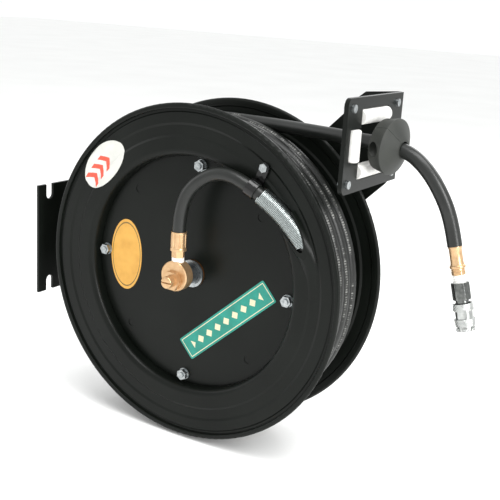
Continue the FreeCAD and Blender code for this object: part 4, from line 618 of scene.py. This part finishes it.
def revolve(shape, profile, base, way, start=0, stop=360, sides=96):
    # adds a closed section of (radius, distance) turned about a line through base;
    # a radius may be a function of the angle, which runs from the top towards the near side
    way = Vector(way).normalized()
    above = (Vector((0, 0, 1)) - way * way.z).normalized()
    near = way.cross(above)
    whole = stop - start >= 360
    count = sides if whole else sides // 2 + 1
    rings = []
    for i in range(count):
        degrees = start + (stop - start) * i / (count if whole else count - 1)
        out = above * math.cos(math.radians(degrees)) + near * math.sin(math.radians(degrees))
        ring = []
        for radius, along in profile:
            reach = radius(degrees) if callable(radius) else radius
            ring.append(shape.verts.new(base + (way * along + out * reach) / 1000))
        rings.append(ring)
    size = len(profile)
    for i in range(count if whole else count - 1):
        one, two = rings[i], rings[(i + 1) % count]
        for j in range(size):
            k = (j + 1) % size
            shape.faces.new((one[j], one[k], two[k], two[j]))
    if not whole:
        shape.faces.new(rings[0])
        shape.faces.new(rings[-1])


def shadeMesh(mesh):
    mesh.shade_smooth()
    mesh.set_sharp_from_angle(angle=math.radians(32))


def closeShape(name, shape, material):
    bmesh.ops.remove_doubles(shape, verts=shape.verts, dist=1e-7)
    bmesh.ops.recalc_face_normals(shape, faces=shape.faces)
    mesh = bpy.data.meshes.new(name)
    shape.to_mesh(mesh)
    shape.free()
    shadeMesh(mesh)
    mesh.materials.append(material)
    piece = bpy.data.objects.new(name, mesh)
    scene.collection.objects.link(piece)
    return piece


def cutBy(piece, cutter):
    # takes the cutter's room out of the piece for good
    cut = piece.modifiers.new("cut", "BOOLEAN")
    cut.operation = "DIFFERENCE"
    cut.solver = "EXACT"
    cut.object = cutter
    bpy.context.view_layer.update()
    evaluated = piece.evaluated_get(bpy.context.evaluated_depsgraph_get())
    mesh = bpy.data.meshes.new_from_object(evaluated)
    piece.modifiers.clear()
    piece.data = mesh
    shadeMesh(mesh)
    bpy.data.objects.remove(cutter)


# ball stop: two moulded halves clamped on the hose, split on the slant, with a coned front

ballStop = {
    "along": 229.0,          # down the hose
    "bore": 9.05,
    "radius": 35.0,
    "back": 12.2,
    "backRound": 5.5,
    "front": 11.0,
    "frontRound": 2.5,
    "neck": 11.5,
    "neckRound": 1.0,
    "cone": 11.0,
    "sides": 144,
    "split": 45,             # degrees from the top
    "gap": 0.15,
    "pocket": 6.5,           # round the heads and nuts
    "web": 8.0,              # from the split to a pocket's floor
    "pocketEnd": 60.0,       # beyond the half's skin
    "pocketSides": 48,
    "screwOffset": 20.0,
    "screwSides": 36,
    "screw": (               # radius, distance from the split, and rounding
        (0, -13), (2.5, -13), (2.5, 8), (5.3, 8), (5.3, 11, 1.6), (1.2, 11.6), (1.2, 9.5), (0, 9.5),
    ),
    "nutBore": 2.5,
    "nutFlats": 4.0,
    "nutCorners": 4.5,
    "nutEnds": (-12, -8),
}
ballAt, ballWay = placeOn(outletHose, ballStop["along"])
ballAbove = (Vector((0, 0, 1)) - ballWay * ballWay.z).normalized()
ballNear = ballWay.cross(ballAbove)
lean = math.radians(ballStop["split"])
splitWay = ballAbove * math.cos(lean) + ballNear * math.sin(lean)
openWay = ballNear * math.cos(lean) - ballAbove * math.sin(lean)    # out of the near half
screwFeet = [ballAt + splitWay * side * ballStop["screwOffset"] / 1000 for side in (-1, 1)]
ballProfile = rounded((
    (ballStop["bore"], -ballStop["back"]),
    (ballStop["radius"], -ballStop["back"], ballStop["backRound"]),
    (ballStop["radius"], ballStop["front"], ballStop["frontRound"]),
    (ballStop["neck"], ballStop["front"] + ballStop["cone"], ballStop["neckRound"]),
    (ballStop["bore"], ballStop["front"] + ballStop["cone"]),
))
pocketProfile = (
    (0, ballStop["web"]), (ballStop["pocket"], ballStop["web"]),
    (ballStop["pocket"], ballStop["pocketEnd"]), (0, ballStop["pocketEnd"]),
)
for name, side, start, stoodFor in (
    ("ballStopNearHalf", 1, ballStop["split"], "ball_stop_near_half"),
    ("ballStopFarHalf", -1, ballStop["split"] + 180, "ball_stop_far_half"),
):
    shape = bmesh.new()
    middle = ballAt + openWay * side * ballStop["gap"] / 1000
    revolve(shape, ballProfile, middle, ballWay, start, start + 180, ballStop["sides"])
    piece = closeShape(name, shape, made["mouldedRubber"])
    for foot in screwFeet:
        shape = bmesh.new()
        revolve(shape, pocketProfile, foot, openWay * side, sides=ballStop["pocketSides"])
        cutBy(piece, closeShape("pocketRoom", shape, made["mouldedRubber"]))
    seatPiece(piece, "bracket", stoodFor)

nutBore = ballStop["nutBore"]
nutHex = hexagonal(ballStop["nutFlats"], ballStop["nutCorners"])
low, high = ballStop["nutEnds"]
nutProfile = ((nutBore, low), (nutHex, low), (nutHex, high), (nutBore, high))
for name, profile, stoodFor in (
    ("ballStopScrews", rounded(ballStop["screw"]), "ball_stop_screws"),
    ("ballStopNuts", nutProfile, "ball_stop_nuts"),
):
    shape = bmesh.new()
    for foot in screwFeet:
        revolve(shape, profile, foot, openWay, sides=ballStop["screwSides"])
    piece = closeShape(name, shape, made["zincPlate"])
    seatPiece(piece, "bracket", stoodFor)
print("ball stop clamped")


def turnPiece(name, profile, base, way, finishName, body, stoodFor, sides=96):
    shape = bmesh.new()
    revolve(shape, profile, base, way, sides=sides)
    piece = closeShape(name, shape, made[finishName])
    seatPiece(piece, body, stoodFor)
    return piece


# end of the outlet hose: ferrule, stem, tape and the quick coupler
# the sections are of radius, distance from the hose's end, and rounding

ferrule = {
    "section": (
        (5.05, 0.1), (7.6, 0.1, 0.4), (7.9, 2.4), (7.55, 3.2), (7.55, 18.5),    # crimped sleeve
        (8.1, 21.6), (8.9, 22.8, 0.6), (8.9, 24.8, 0.6), (7.6, 25.8),           # collar
        (7.4, 28.0, 0.4), (5.05, 28.0),
    ),
}
outletFerrule = turnPiece(
    "outletFerrule", rounded(ferrule["section"]), hoseEnd, hoseWay, "turnedBrass",
    "bracket", "outlet_ferrule",
)

stem = {
    "flats": 7.4,
    "corners": 8.1,
    "chamfer": 7.3,
    "turn": 10,           # degrees of its flats from the top
    "hexEnds": (28.3, 28.8, 32.8, 33.3),
    "bore": 3.5,
    "start": 1.0,
    "tail": 5.0,          # in the hose
    "thread": 6.5,
    "threadEnd": 52.3,
    "sides": 144,
}
stemHex = hexagonal(stem["flats"], stem["corners"], stem["turn"])
hexStart, firstEdge, lastEdge, hexStop = stem["hexEnds"]
outletStem = turnPiece(
    "outletStem",
    (
        (stem["bore"], stem["start"]), (stem["tail"], stem["start"]), (stem["tail"], hexStart),
        (stem["chamfer"], hexStart), (stemHex, firstEdge), (stemHex, lastEdge),
        (stem["chamfer"], hexStop), (stem["thread"], hexStop), (stem["thread"], stem["threadEnd"]),
        (stem["bore"], stem["threadEnd"]),
    ),
    hoseEnd, hoseWay, "turnedBrass", "bracket", "outlet_nipple", stem["sides"],
)

tape = {
    "start": 33.4,
    "end": 42.2,
    "inside": 6.55,
    "outside": 7.25,
    "ripple": 0.25,
    "rippleTurn": 2.1,    # radians from step to step
    "steps": 10,
}
tapeStep = (tape["end"] - tape["start"]) / tape["steps"]
tapeSkin = [
    (
        tape["outside"] + tape["ripple"] * math.sin(number * tape["rippleTurn"]),
        tape["start"] + number * tapeStep,
    )
    for number in range(tape["steps"] + 1)
]
outletTape = turnPiece(
    "outletTape", ((tape["inside"], tape["start"]), *tapeSkin, (tape["inside"], tape["end"])),
    hoseEnd, hoseWay, "sealingTape", "bracket", "outlet_thread_tape",
)

coupler = {
    "flats": 9.5,
    "corners": 10.8,
    "chamfer": 10.1,
    "turn": 12,           # degrees of its flats from the top
    "hexEnds": (42.3, 43.0, 61.7, 62.4),
    "neck": 7.7,          # under the sleeve
    "noseStart": 92.8,
    "notch": 12.5,        # degrees, half of each notch in the nose
    "nose": ((11.2, 9.6, 95.0), (11.5, 9.6, 98.3), (11.0, 9.4, 99.1)),    # crown, notch, distance
    "noseFoot": ((9.4, 92.8), (9.4, 94.6)),
    "bore": (
        (5.9, 99.1), (5.6, 98.6), (5.6, 82.1), (3.5, 82.1), (3.5, 79.1),    # socket and its seat
        (5.2, 79.1), (5.2, 55.3), (3.5, 55.3), (3.5, 52.6),                 # room for the valve
        (6.55, 52.6), (6.55, 42.3),                                         # thread
    ),
    "sleeve": (
        (10.1, 67.0), (11.1, 67.0, 0.3), (11.6, 67.7), (11.6, 74.2, 0.3),    # first knurled band
        (10.3, 74.6), (10.3, 84.4),
        (11.6, 84.8, 0.3), (11.6, 91.8), (11.1, 92.5, 0.3),                  # second knurled band
        (8.75, 92.5), (8.75, 88.5), (7.8, 88.5), (7.8, 80.5), (10.1, 80.5),
    ),
    "sides": 144,
}
couplerHex = hexagonal(coupler["flats"], coupler["corners"], coupler["turn"])
couplerEdge = hexagonal(coupler["flats"], coupler["chamfer"], coupler["turn"])
hexStart, firstEdge, lastEdge, hexStop = coupler["hexEnds"]
# the body wears chrome darkened as painted shade, except its nose, which gets the sleeve's brighter
# chrome
couplerBody = turnPiece(
    "couplerBody",
    (
        (couplerEdge, hexStart), (couplerHex, firstEdge), (couplerHex, lastEdge),
        (couplerEdge, hexStop), (coupler["neck"], hexStop),
        (coupler["neck"], coupler["noseStart"]), *coupler["noseFoot"],
        *(
            (notched(crown, root, coupler["notch"], coupler["turn"]), along)
            for crown, root, along in coupler["nose"]
        ),
        *coupler["bore"],
    ),
    hoseEnd, hoseWay, "chromeInPaintedShade", "bracket", "coupler_body", coupler["sides"],
)
couplerBody.data.materials.append(made["knurledChrome"])
for face in couplerBody.data.polygons:
    if (face.center - hoseEnd).dot(hoseWay) * 1000 > coupler["noseStart"] + 0.1:
        face.material_index = 1    # the nose takes the sleeve's brighter chrome, free of the body's painted shade
couplerSleeve = turnPiece(
    "couplerSleeve", rounded(coupler["sleeve"], 3), hoseEnd, hoseWay, "knurledChrome",
    "coupler_sleeve", "coupler_sleeve", coupler["sides"],
)

print("coupler fitted")


# swivel: a brass block turned off its bore, so that it stands higher on the hose's side

swivel = {
    "front": -23.0,       # its front face, from the rim
    "length": 16.0,
    "radius": 20.0,
    "rise": 5.0,
    "bore": 9.05,
    "edge": 1.0,
    "sides": 128,
}


def offBore(radius):
    # the distance from the bore's line to a circle whose middle is the rise above it
    def reach(degrees):
        turn = math.radians(degrees)
        aside = swivel["rise"] * math.sin(turn)
        return swivel["rise"] * math.cos(turn) + math.sqrt(radius ** 2 - aside ** 2)
    return reach


swivelSide = offBore(swivel["radius"])
swivelEdge = offBore(swivel["radius"] - swivel["edge"])
turnPiece(
    "swivelBody",
    (
        (swivel["bore"], 0), (swivelEdge, 0), (swivelSide, swivel["edge"]),
        (swivelSide, swivel["length"] - swivel["edge"]), (swivelEdge, swivel["length"]),
        (swivel["bore"], swivel["length"]),
    ),
    metres(0, swivel["front"], 0), (0, 1, 0), "turnedBrass",
    "drum", "swivel_body", swivel["sides"],
)
print("swivel turned")


# geometry nodes helpers

def startTree(name, sizes, follows=False):
    # an empty tree with one output, and inputs for the path it follows, each size and the material
    tree = bpy.data.node_groups.new(name, "GeometryNodeTree")
    tree.interface.new_socket("Geometry", in_out="OUTPUT", socket_type="NodeSocketGeometry")
    inputs = {"Path": "Geometry"} if follows else {}
    for label, size in sizes.items():
        inputs[label] = "Int" if isinstance(size, int) else "Float"
    inputs["Material"] = "Material"
    for label, kind in inputs.items():
        tree.interface.new_socket(label, in_out="INPUT", socket_type="NodeSocket" + kind)
    start = addNode(tree, "NodeGroupInput")
    return tree, {item.name: item for item in start.outputs if item.name}


def endTree(tree, given, path, thickness):
    # a smooth closed tube along the path, in the given material
    half = addNode(tree, "ShaderNodeMath", {0: given[thickness], 1: 0.5}, operation="MULTIPLY")
    ring = addNode(
        tree, "GeometryNodeCurvePrimitiveCircle", {"Resolution": given["Sides"], "Radius": half}
    )
    tube = addNode(tree, "GeometryNodeCurveToMesh", {
        "Curve": path, "Profile Curve": ring, "Fill Caps": True,
    })
    smooth = addNode(tree, "GeometryNodeSetShadeSmooth", {"Geometry": tube})
    whole = addNode(tree, "GeometryNodeRealizeInstances", {0: smooth})
    dressed = addNode(
        tree, "GeometryNodeSetMaterial", {"Geometry": whole, "Material": given["Material"]}
    )
    addNode(tree, "NodeGroupOutput", {0: dressed})


def runTree(piece, tree, values, name):
    # the tree's result as a plain mesh piece, and the first object gone
    modifier = piece.modifiers.new("build", "NODES")
    modifier.node_group = tree
    for item in tree.interface.items_tree:
        if item.item_type == "SOCKET" and item.in_out == "INPUT" and item.name in values:
            modifier[item.identifier] = values[item.name]
    bpy.context.view_layer.update()
    evaluated = piece.evaluated_get(bpy.context.evaluated_depsgraph_get())
    mesh = bpy.data.meshes.new_from_object(evaluated)
    mesh.name = name
    bpy.data.objects.remove(piece)
    result = bpy.data.objects.new(name, mesh)
    scene.collection.objects.link(result)
    return result


# wound hose, and the inner turns that lie in the grooves under it

def windTree():
    tree, given = startTree("windHose", winding)
    width = addNode(
        tree, "ShaderNodeMath", {0: given["Pitch"], 1: given["Turns"]}, operation="MULTIPLY"
    )
    spiral = addNode(tree, "GeometryNodeCurveSpiral", {
        "Resolution": given["Steps"],
        "Rotations": given["Turns"],
        "Start Radius": given["Radius"],
        "End Radius": given["Radius"],
        "Height": width,
        "Reverse": True,
    })
    front = addNode(
        tree, "ShaderNodeMath", {0: given["Setback"], 1: -drum["rimSetback"] / 1000},
        operation="ADD",
    )
    back = addNode(tree, "ShaderNodeMath", {0: front, 1: width}, operation="ADD")
    low = addNode(tree, "ShaderNodeMath", {0: given["Radius"], 1: -1.0}, operation="MULTIPLY")
    reach = drum["axisReach"] / 1000
    leadEnd = addNode(tree, "ShaderNodeMath", {0: given["Lead"], 1: reach}, operation="ADD")
    place = addNode(tree, "ShaderNodeCombineXYZ", {0: reach, 1: front})
    turned = addNode(tree, "GeometryNodeTransform", {
        "Geometry": spiral,
        "Translation": place,
        "Rotation": (-math.pi / 2, math.pi / 2, 0),    # its axis to y, its start to the bottom
    })
    lines = [turned]
    for setback, height in ((front, low), (back, given["Radius"])):
        near = addNode(tree, "ShaderNodeCombineXYZ", {0: reach, 1: setback, 2: height})
        far = addNode(tree, "ShaderNodeCombineXYZ", {0: leadEnd, 1: setback, 2: height})
        lines.append(addNode(tree, "GeometryNodeCurvePrimitiveLine", {"Start": near, "End": far}))
    joined = addNode(tree, "GeometryNodeJoinGeometry")
    for line in lines:
        tree.links.new(line.outputs[0], joined.inputs[0])
    wire = addNode(tree, "GeometryNodeCurveToMesh", {"Curve": joined})
    single = addNode(
        tree, "GeometryNodeMergeByDistance", {"Geometry": wire, "Distance": 0.0001}    # metres
    )
    path = addNode(tree, "GeometryNodeMeshToCurve", {0: single})
    endTree(tree, given, path, "Hose")
    return tree


windHose = windTree()
layers = {
    "woundHose": ("wound_hose", {}),
    "innerTurns": ("hose_inner_layer", {
        "Radius": winding["Radius"] - math.sqrt(winding["Hose"] ** 2 - (winding["Pitch"] / 2) ** 2),
        "Setback": winding["Setback"] + winding["Pitch"] / 2,
        "Turns": winding["Turns"] - 0.5,
        "Lead": 0.0,
    }),
}
for name, (stoodFor, changes) in layers.items():
    seed = bpy.data.objects.new(name + "Seed", bpy.data.meshes.new(name + "Seed"))
    scene.collection.objects.link(seed)
    sizes = {**winding, **changes, "Material": made["printedRubber"]}
    seatPiece(runTree(seed, windHose, sizes, name), "drum", stoodFor)
print("wound hose laid")


# spring guard: wire coiled round the jumper hose where it goes into the drum

guard = {
    "Start": 0.1706,         # metres along the jumper hose
    "Length": 0.080,
    "Turns": 46.0,
    "Radius": 0.011,         # to the middle of the wire
    "Wire": 0.0016,
    "Samples": 400,          # points that the hose's line is taken at
    "Steps": 20,             # points in a turn
    "Sides": 8,              # round the wire
}


def coilTree():
    tree, given = startTree("coilWire", guard, follows=True)
    even = addNode(
        tree, "GeometryNodeResampleCurve", {"Curve": given["Path"], "Count": given["Samples"]},
        mode="COUNT",
    )
    stop = addNode(
        tree, "ShaderNodeMath", {0: given["Start"], 1: given["Length"]}, operation="ADD"
    )
    trimmed = addNode(
        tree, "GeometryNodeTrimCurve", {"Curve": even, 4: given["Start"], 5: stop}, mode="LENGTH"
    )
    count = addNode(
        tree, "ShaderNodeMath", {0: given["Turns"], 1: given["Steps"]}, operation="MULTIPLY"
    )
    fine = addNode(
        tree, "GeometryNodeResampleCurve", {"Curve": trimmed, "Count": count}, mode="COUNT"
    )
    part = addNode(tree, "GeometryNodeSplineParameter").outputs["Factor"]
    turn = addNode(tree, "ShaderNodeMath", {0: part, 1: given["Turns"]}, operation="MULTIPLY")
    angle = addNode(tree, "ShaderNodeMath", {0: turn, 1: 2 * math.pi}, operation="MULTIPLY")
    across = addNode(tree, "GeometryNodeInputNormal")
    along = addNode(tree, "GeometryNodeInputTangent")
    aside = addNode(
        tree, "ShaderNodeVectorMath", {0: along, 1: across}, operation="CROSS_PRODUCT"
    )
    arms = []
    for way, kind in ((across, "COSINE"), (aside, "SINE")):
        share = addNode(tree, "ShaderNodeMath", {0: angle}, operation=kind)
        reach = addNode(
            tree, "ShaderNodeMath", {0: share, 1: given["Radius"]}, operation="MULTIPLY"
        )
        arms.append(
            addNode(tree, "ShaderNodeVectorMath", {0: way, "Scale": reach}, operation="SCALE")
        )
    offset = addNode(tree, "ShaderNodeVectorMath", {0: arms[0], 1: arms[1]}, operation="ADD")
    coil = addNode(tree, "GeometryNodeSetPosition", {"Geometry": fine, "Offset": offset})
    endTree(tree, given, coil, "Wire")
    return tree


guardPath = makeLine("guardPath", jumperHose["points"], 1)
spring = runTree(guardPath, coilTree(), {**guard, "Material": made["springWire"]}, "hoseGuard")
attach(spring, "drum")
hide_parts("hose_guard")
print(f"guard coiled, {len(spring.data.polygons)} faces")


# labels, all bare of words: plain films with simple marks in the shader

labels = {
    "yellowOval": {
        "centre": (-112, 4),
        "size": (53, 100),
        "points": 96,            # round its edge
        "thick": 0.15,
        "colours": ((0.3, "#D19A3E"), (0.7, "#E2AB4C")),
        "ink": "#6E5A2A",
        "line": 0.9,             # of the way out to the edge
        "lineHalf": 0.018,
    },
    "whiteOval": {
        "angle": 137.5,          # round the flange
        "radius": 191,
        "size": (84, 46),        # along the rim, across
        "points": 144,
        "thick": 0.45,           # over the rounded steps of the flange
        "colours": ((0.3, "#CBCBC5"), (0.7, "#D9D9D3")),
        "ink": "#E0523C",
        "step": 0.016,           # metres from chevron to chevron
        "slope": 0.8,
        "chevrons": 3,
        "lead": 1.7,             # steps from the first chevron to the middle
        "bar": 0.5,              # of a step
        "band": 0.011,           # metres, half the chevrons' height
    },
    "tealPlate": {
        "centre": (56.5, -54.5),
        "size": (166, 32.5),
        "turn": 41.7,            # degrees up to the right
        "corner": 2.5,
        "points": 8,             # steps round each corner
        "thick": 0.4,
        "colours": ((0.3, "#127C6C"), (0.7, "#189080")),
        "ink": "#D8D0B0",
        "inset": 0.003,          # metres from the edge to the line
        "lineHalf": 0.0005,
        "step": 0.0085,          # half of the way from diamond to diamond
        "diamond": 0.0058,       # half of a diamond's height
        "row": 0.068,            # half of the row's length
    },
}
film = {
    # printed vinyl film: even colour, sun-faded in patches, satin, with a faint ripple
    "mottle": (60, 4),    # 17 mm
    "gloss": (0.26, 0.4),
    "relief": (0.06, 0.0005),
}
flangeFace = (    # the front flange's face: radius, setback from the rim
    (160, 3.0), (181.5, 3.0), (184.5, 4.4), (197, 4.4), (200, 3.0), (213, 3.0), (214.5, 4.2),
    (218, 4.2),
)


def flangeSetback(x, z):
    radius = math.hypot(x, z)
    for (inner, near), (outer, far) in zip(flangeFace, flangeFace[1:]):
        if radius <= outer:
            return near + (far - near) * (radius - inner) / (outer - inner)
    return flangeFace[-1][1]


def coverSetback(x, z):
    return drum["coverSetback"]


def yellowVinyl(tree, place, look):
    # blank, with one darker line round its edge
    scale = (2000 / look["size"][0], 0, 2000 / look["size"][1])
    spot = metres(look["centre"][0], 0, look["centre"][1])
    centred = addNode(tree, "ShaderNodeMapping", {
        "Vector": place,
        "Location": tuple(-part * share for part, share in zip(spot, scale)),
        "Scale": scale,
    })
    reach = addNode(tree, "ShaderNodeVectorMath", {0: centred}, operation="LENGTH").outputs["Value"]
    line = addNode(
        tree, "ShaderNodeMath", {0: reach, 1: look["line"], 2: look["lineHalf"]},
        operation="COMPARE",
    )
    return coat(tree, place, look, inks=((line, look["ink"]),))


def whiteVinyl(tree, place, look):
    # three coral chevrons that point the way the drum pays out
    x, y, z = seenFrom(tree, place, metres(0, 0, 0))
    reach = distance(tree, x, z)
    angle = addNode(tree, "ShaderNodeMath", {0: z, 1: x}, operation="ARCTAN2")
    off = addNode(
        tree, "ShaderNodeMath", {0: angle, 1: math.radians(look["angle"])}, operation="SUBTRACT"
    )
    run = addNode(tree, "ShaderNodeMath", {0: off, 1: -look["radius"] / 1000}, operation="MULTIPLY")
    side = addNode(
        tree, "ShaderNodeMath", {0: reach, 1: look["radius"] / 1000}, operation="SUBTRACT"
    )
    width = addNode(tree, "ShaderNodeMath", {0: side}, operation="ABSOLUTE")
    slant = addNode(
        tree, "ShaderNodeMath", {0: width, 1: look["slope"], 2: run}, operation="MULTIPLY_ADD"
    )
    count = addNode(
        tree, "ShaderNodeMath", {0: slant, 1: 1 / look["step"], 2: look["lead"]},
        operation="MULTIPLY_ADD",
    )
    share = addNode(tree, "ShaderNodeMath", {0: count}, operation="FRACT")
    bar = addNode(tree, "ShaderNodeMath", {0: share, 1: look["bar"]}, operation="LESS_THAN")
    half = look["chevrons"] / 2
    inRow = addNode(tree, "ShaderNodeMath", {0: count, 1: half, 2: half}, operation="COMPARE")
    inBand = addNode(tree, "ShaderNodeMath", {0: width, 1: look["band"]}, operation="LESS_THAN")
    barInRow = addNode(tree, "ShaderNodeMath", {0: bar, 1: inRow}, operation="MULTIPLY")
    chevrons = addNode(tree, "ShaderNodeMath", {0: barInRow, 1: inBand}, operation="MULTIPLY")
    return coat(tree, place, look, inks=((chevrons, look["ink"]),))


def tealVinyl(tree, place, look):
    # a cream line round it and a row of cream diamonds
    spot = metres(look["centre"][0], 0, look["centre"][1])
    x, y, z = seenFrom(tree, place, spot, Euler((0, math.radians(look["turn"]), 0)))
    past = []
    for part, size in zip((x, z), look["size"]):
        away = addNode(tree, "ShaderNodeMath", {0: part}, operation="ABSOLUTE")
        beyond = addNode(tree, "ShaderNodeMath", {0: away, 1: size / 2000}, operation="SUBTRACT")
        past.append((away, beyond))
    (long, ends), (high, sides) = past
    edge = addNode(tree, "ShaderNodeMath", {0: ends, 1: sides}, operation="MAXIMUM")
    line = addNode(
        tree, "ShaderNodeMath", {0: edge, 1: -look["inset"], 2: look["lineHalf"]},
        operation="COMPARE",
    )
    step = addNode(tree, "ShaderNodeMath", {0: x, 1: look["step"]}, operation="PINGPONG")
    slope = addNode(tree, "ShaderNodeMath", {0: step, 1: high}, operation="ADD")
    inside = addNode(tree, "ShaderNodeMath", {0: slope, 1: look["diamond"]}, operation="LESS_THAN")
    near = addNode(tree, "ShaderNodeMath", {0: long, 1: look["row"]}, operation="LESS_THAN")
    diamonds = addNode(tree, "ShaderNodeMath", {0: inside, 1: near}, operation="MULTIPLY")
    return coat(tree, place, look, inks=((line, look["ink"]), (diamonds, look["ink"])))


def makeFilm(name, outline, middle, setback, thick, material):
    # a thin closed film facing the front: rings from its middle to its outline, in x and z
    rings = 10
    count = len(outline)
    mesh = bpy.data.meshes.new(name)
    shape = bmesh.new()
    edges = []
    for lift in (thick, 0.0):
        centre = shape.verts.new(metres(middle[0], setback(*middle) - lift, middle[1]))
        rows = []
        for ring in range(1, rings + 1):
            row = []
            for x, z in outline:
                u = middle[0] + (x - middle[0]) * ring / rings
                v = middle[1] + (z - middle[1]) * ring / rings
                row.append(shape.verts.new(metres(u, setback(u, v) - lift, v)))
            rows.append(row)
        edges.append(rows[-1])
        for i in range(count):
            j = (i + 1) % count
            shape.faces.new((centre, rows[0][i], rows[0][j]))
            for inner, outer in zip(rows, rows[1:]):
                shape.faces.new((inner[i], outer[i], outer[j], inner[j]))
    top, bottom = edges
    for i in range(count):
        j = (i + 1) % count
        shape.faces.new((top[i], bottom[i], bottom[j], top[j]))
    bmesh.ops.recalc_face_normals(shape, faces=shape.faces)
    shape.to_mesh(mesh)
    shape.free()
    piece = bpy.data.objects.new(name, mesh)
    scene.collection.objects.link(piece)
    mesh.materials.append(material)
    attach(piece, "drum")


def ovalOutline(size, count):
    angles = [2 * math.pi * i / count for i in range(count)]
    return [(size[0] / 2 * math.cos(angle), size[1] / 2 * math.sin(angle)) for angle in angles]


def plateOutline(size, corner, count):
    points = []
    for sx, sy, start in ((1, 1, 0), (-1, 1, 90), (-1, -1, 180), (1, -1, 270)):
        for i in range(count + 1):
            angle = math.radians(start + 90 * i / count)
            points.append((
                sx * (size[0] / 2 - corner) + corner * math.cos(angle),
                sy * (size[1] / 2 - corner) + corner * math.sin(angle),
            ))
    return points


oval = labels["yellowOval"]
middle = oval["centre"]
outline = [(middle[0] + u, middle[1] + v) for u, v in ovalOutline(oval["size"], oval["points"])]
vinyl = finish("yellowVinyl", {**film, **oval}, yellowVinyl)
makeFilm("yellowLabel", outline, middle, coverSetback, oval["thick"], vinyl)

plate = labels["tealPlate"]
middle = plate["centre"]
lean = math.radians(plate["turn"])
outline = [
    (
        middle[0] + u * math.cos(lean) - v * math.sin(lean),
        middle[1] + u * math.sin(lean) + v * math.cos(lean),
    )
    for u, v in plateOutline(plate["size"], plate["corner"], plate["points"])
]
vinyl = finish("tealVinyl", {**film, **plate}, tealVinyl)
makeFilm("tealPlate", outline, middle, coverSetback, plate["thick"], vinyl)

oval = labels["whiteOval"]
start = math.radians(oval["angle"])
middle = (oval["radius"] * math.cos(start), oval["radius"] * math.sin(start))
outline = []
for u, v in ovalOutline(oval["size"], oval["points"]):
    angle = start - u / oval["radius"]
    reach = oval["radius"] + v
    outline.append((reach * math.cos(angle), reach * math.sin(angle)))
vinyl = finish("whiteVinyl", {**film, **oval}, whiteVinyl)
makeFilm("whiteLabel", outline, middle, flangeSetback, oval["thick"], vinyl)
print("labels placed")


# stage, in metres

stage = {
    "floorDrop": 0.004,
    "floorSize": 30.0,
    "floorMiddle": 0.3,
    "lampAim": (0.28, 0, 0),
    "room": (0.99, 1.0, 1.0, 1),
    "roomStrength": 1.02,
    "paper": {    # seamless white paper sweep, with a barely seen cloudiness
        "mottle": (2, 2),    # 0.5 m
        "colours": ((0.2, "#F4F4F3"), (0.8, "#FAFAF9")),
        "shader": {"Roughness": 0.8},
    },
}
lamps = (
    # name, place, size, power
    ("overhead", (0.9, -0.5, 2.2), (2.0, 0.8), 32),
    ("leftPanel", (-2.0, -0.9, 1.1), (0.4, 1.8), 5),
    ("rightPanel", (2.2, -0.7, 1.0), (0.5, 1.8), 40),
    ("backPanel", (0.5, 2.6, 1.6), (2.6, 1.2), 30),
)


def makeFloor():
    bpy.ops.mesh.primitive_plane_add(size=stage["floorSize"])
    floor = bpy.context.object
    floor.name = "paleFloor"
    floor.location = (stage["floorMiddle"], 0, cadLow.z - stage["floorDrop"])
    floor.data.materials.append(finish("studioFloor", stage["paper"]))


def addLamp(name, place, size, power):
    data = bpy.data.lights.new(name, "AREA")
    data.shape = "RECTANGLE"
    data.size, data.size_y = size
    data.energy = power
    lamp = bpy.data.objects.new(name, data)
    scene.collection.objects.link(lamp)
    lamp.location = place
    aim = Vector(stage["lampAim"]) - Vector(place)
    lamp.rotation_euler = aim.to_track_quat("-Z", "Y").to_euler()


makeFloor()
for lamp in lamps:
    addLamp(*lamp)
world = bpy.data.worlds.new("paleRoom")
world.use_nodes = True
background = world.node_tree.nodes["Background"]
background.inputs["Color"].default_value = stage["room"]
background.inputs["Strength"].default_value = stage["roomStrength"]
scene.world = world
scene.view_settings.view_transform = "Standard"
print("stage lit")
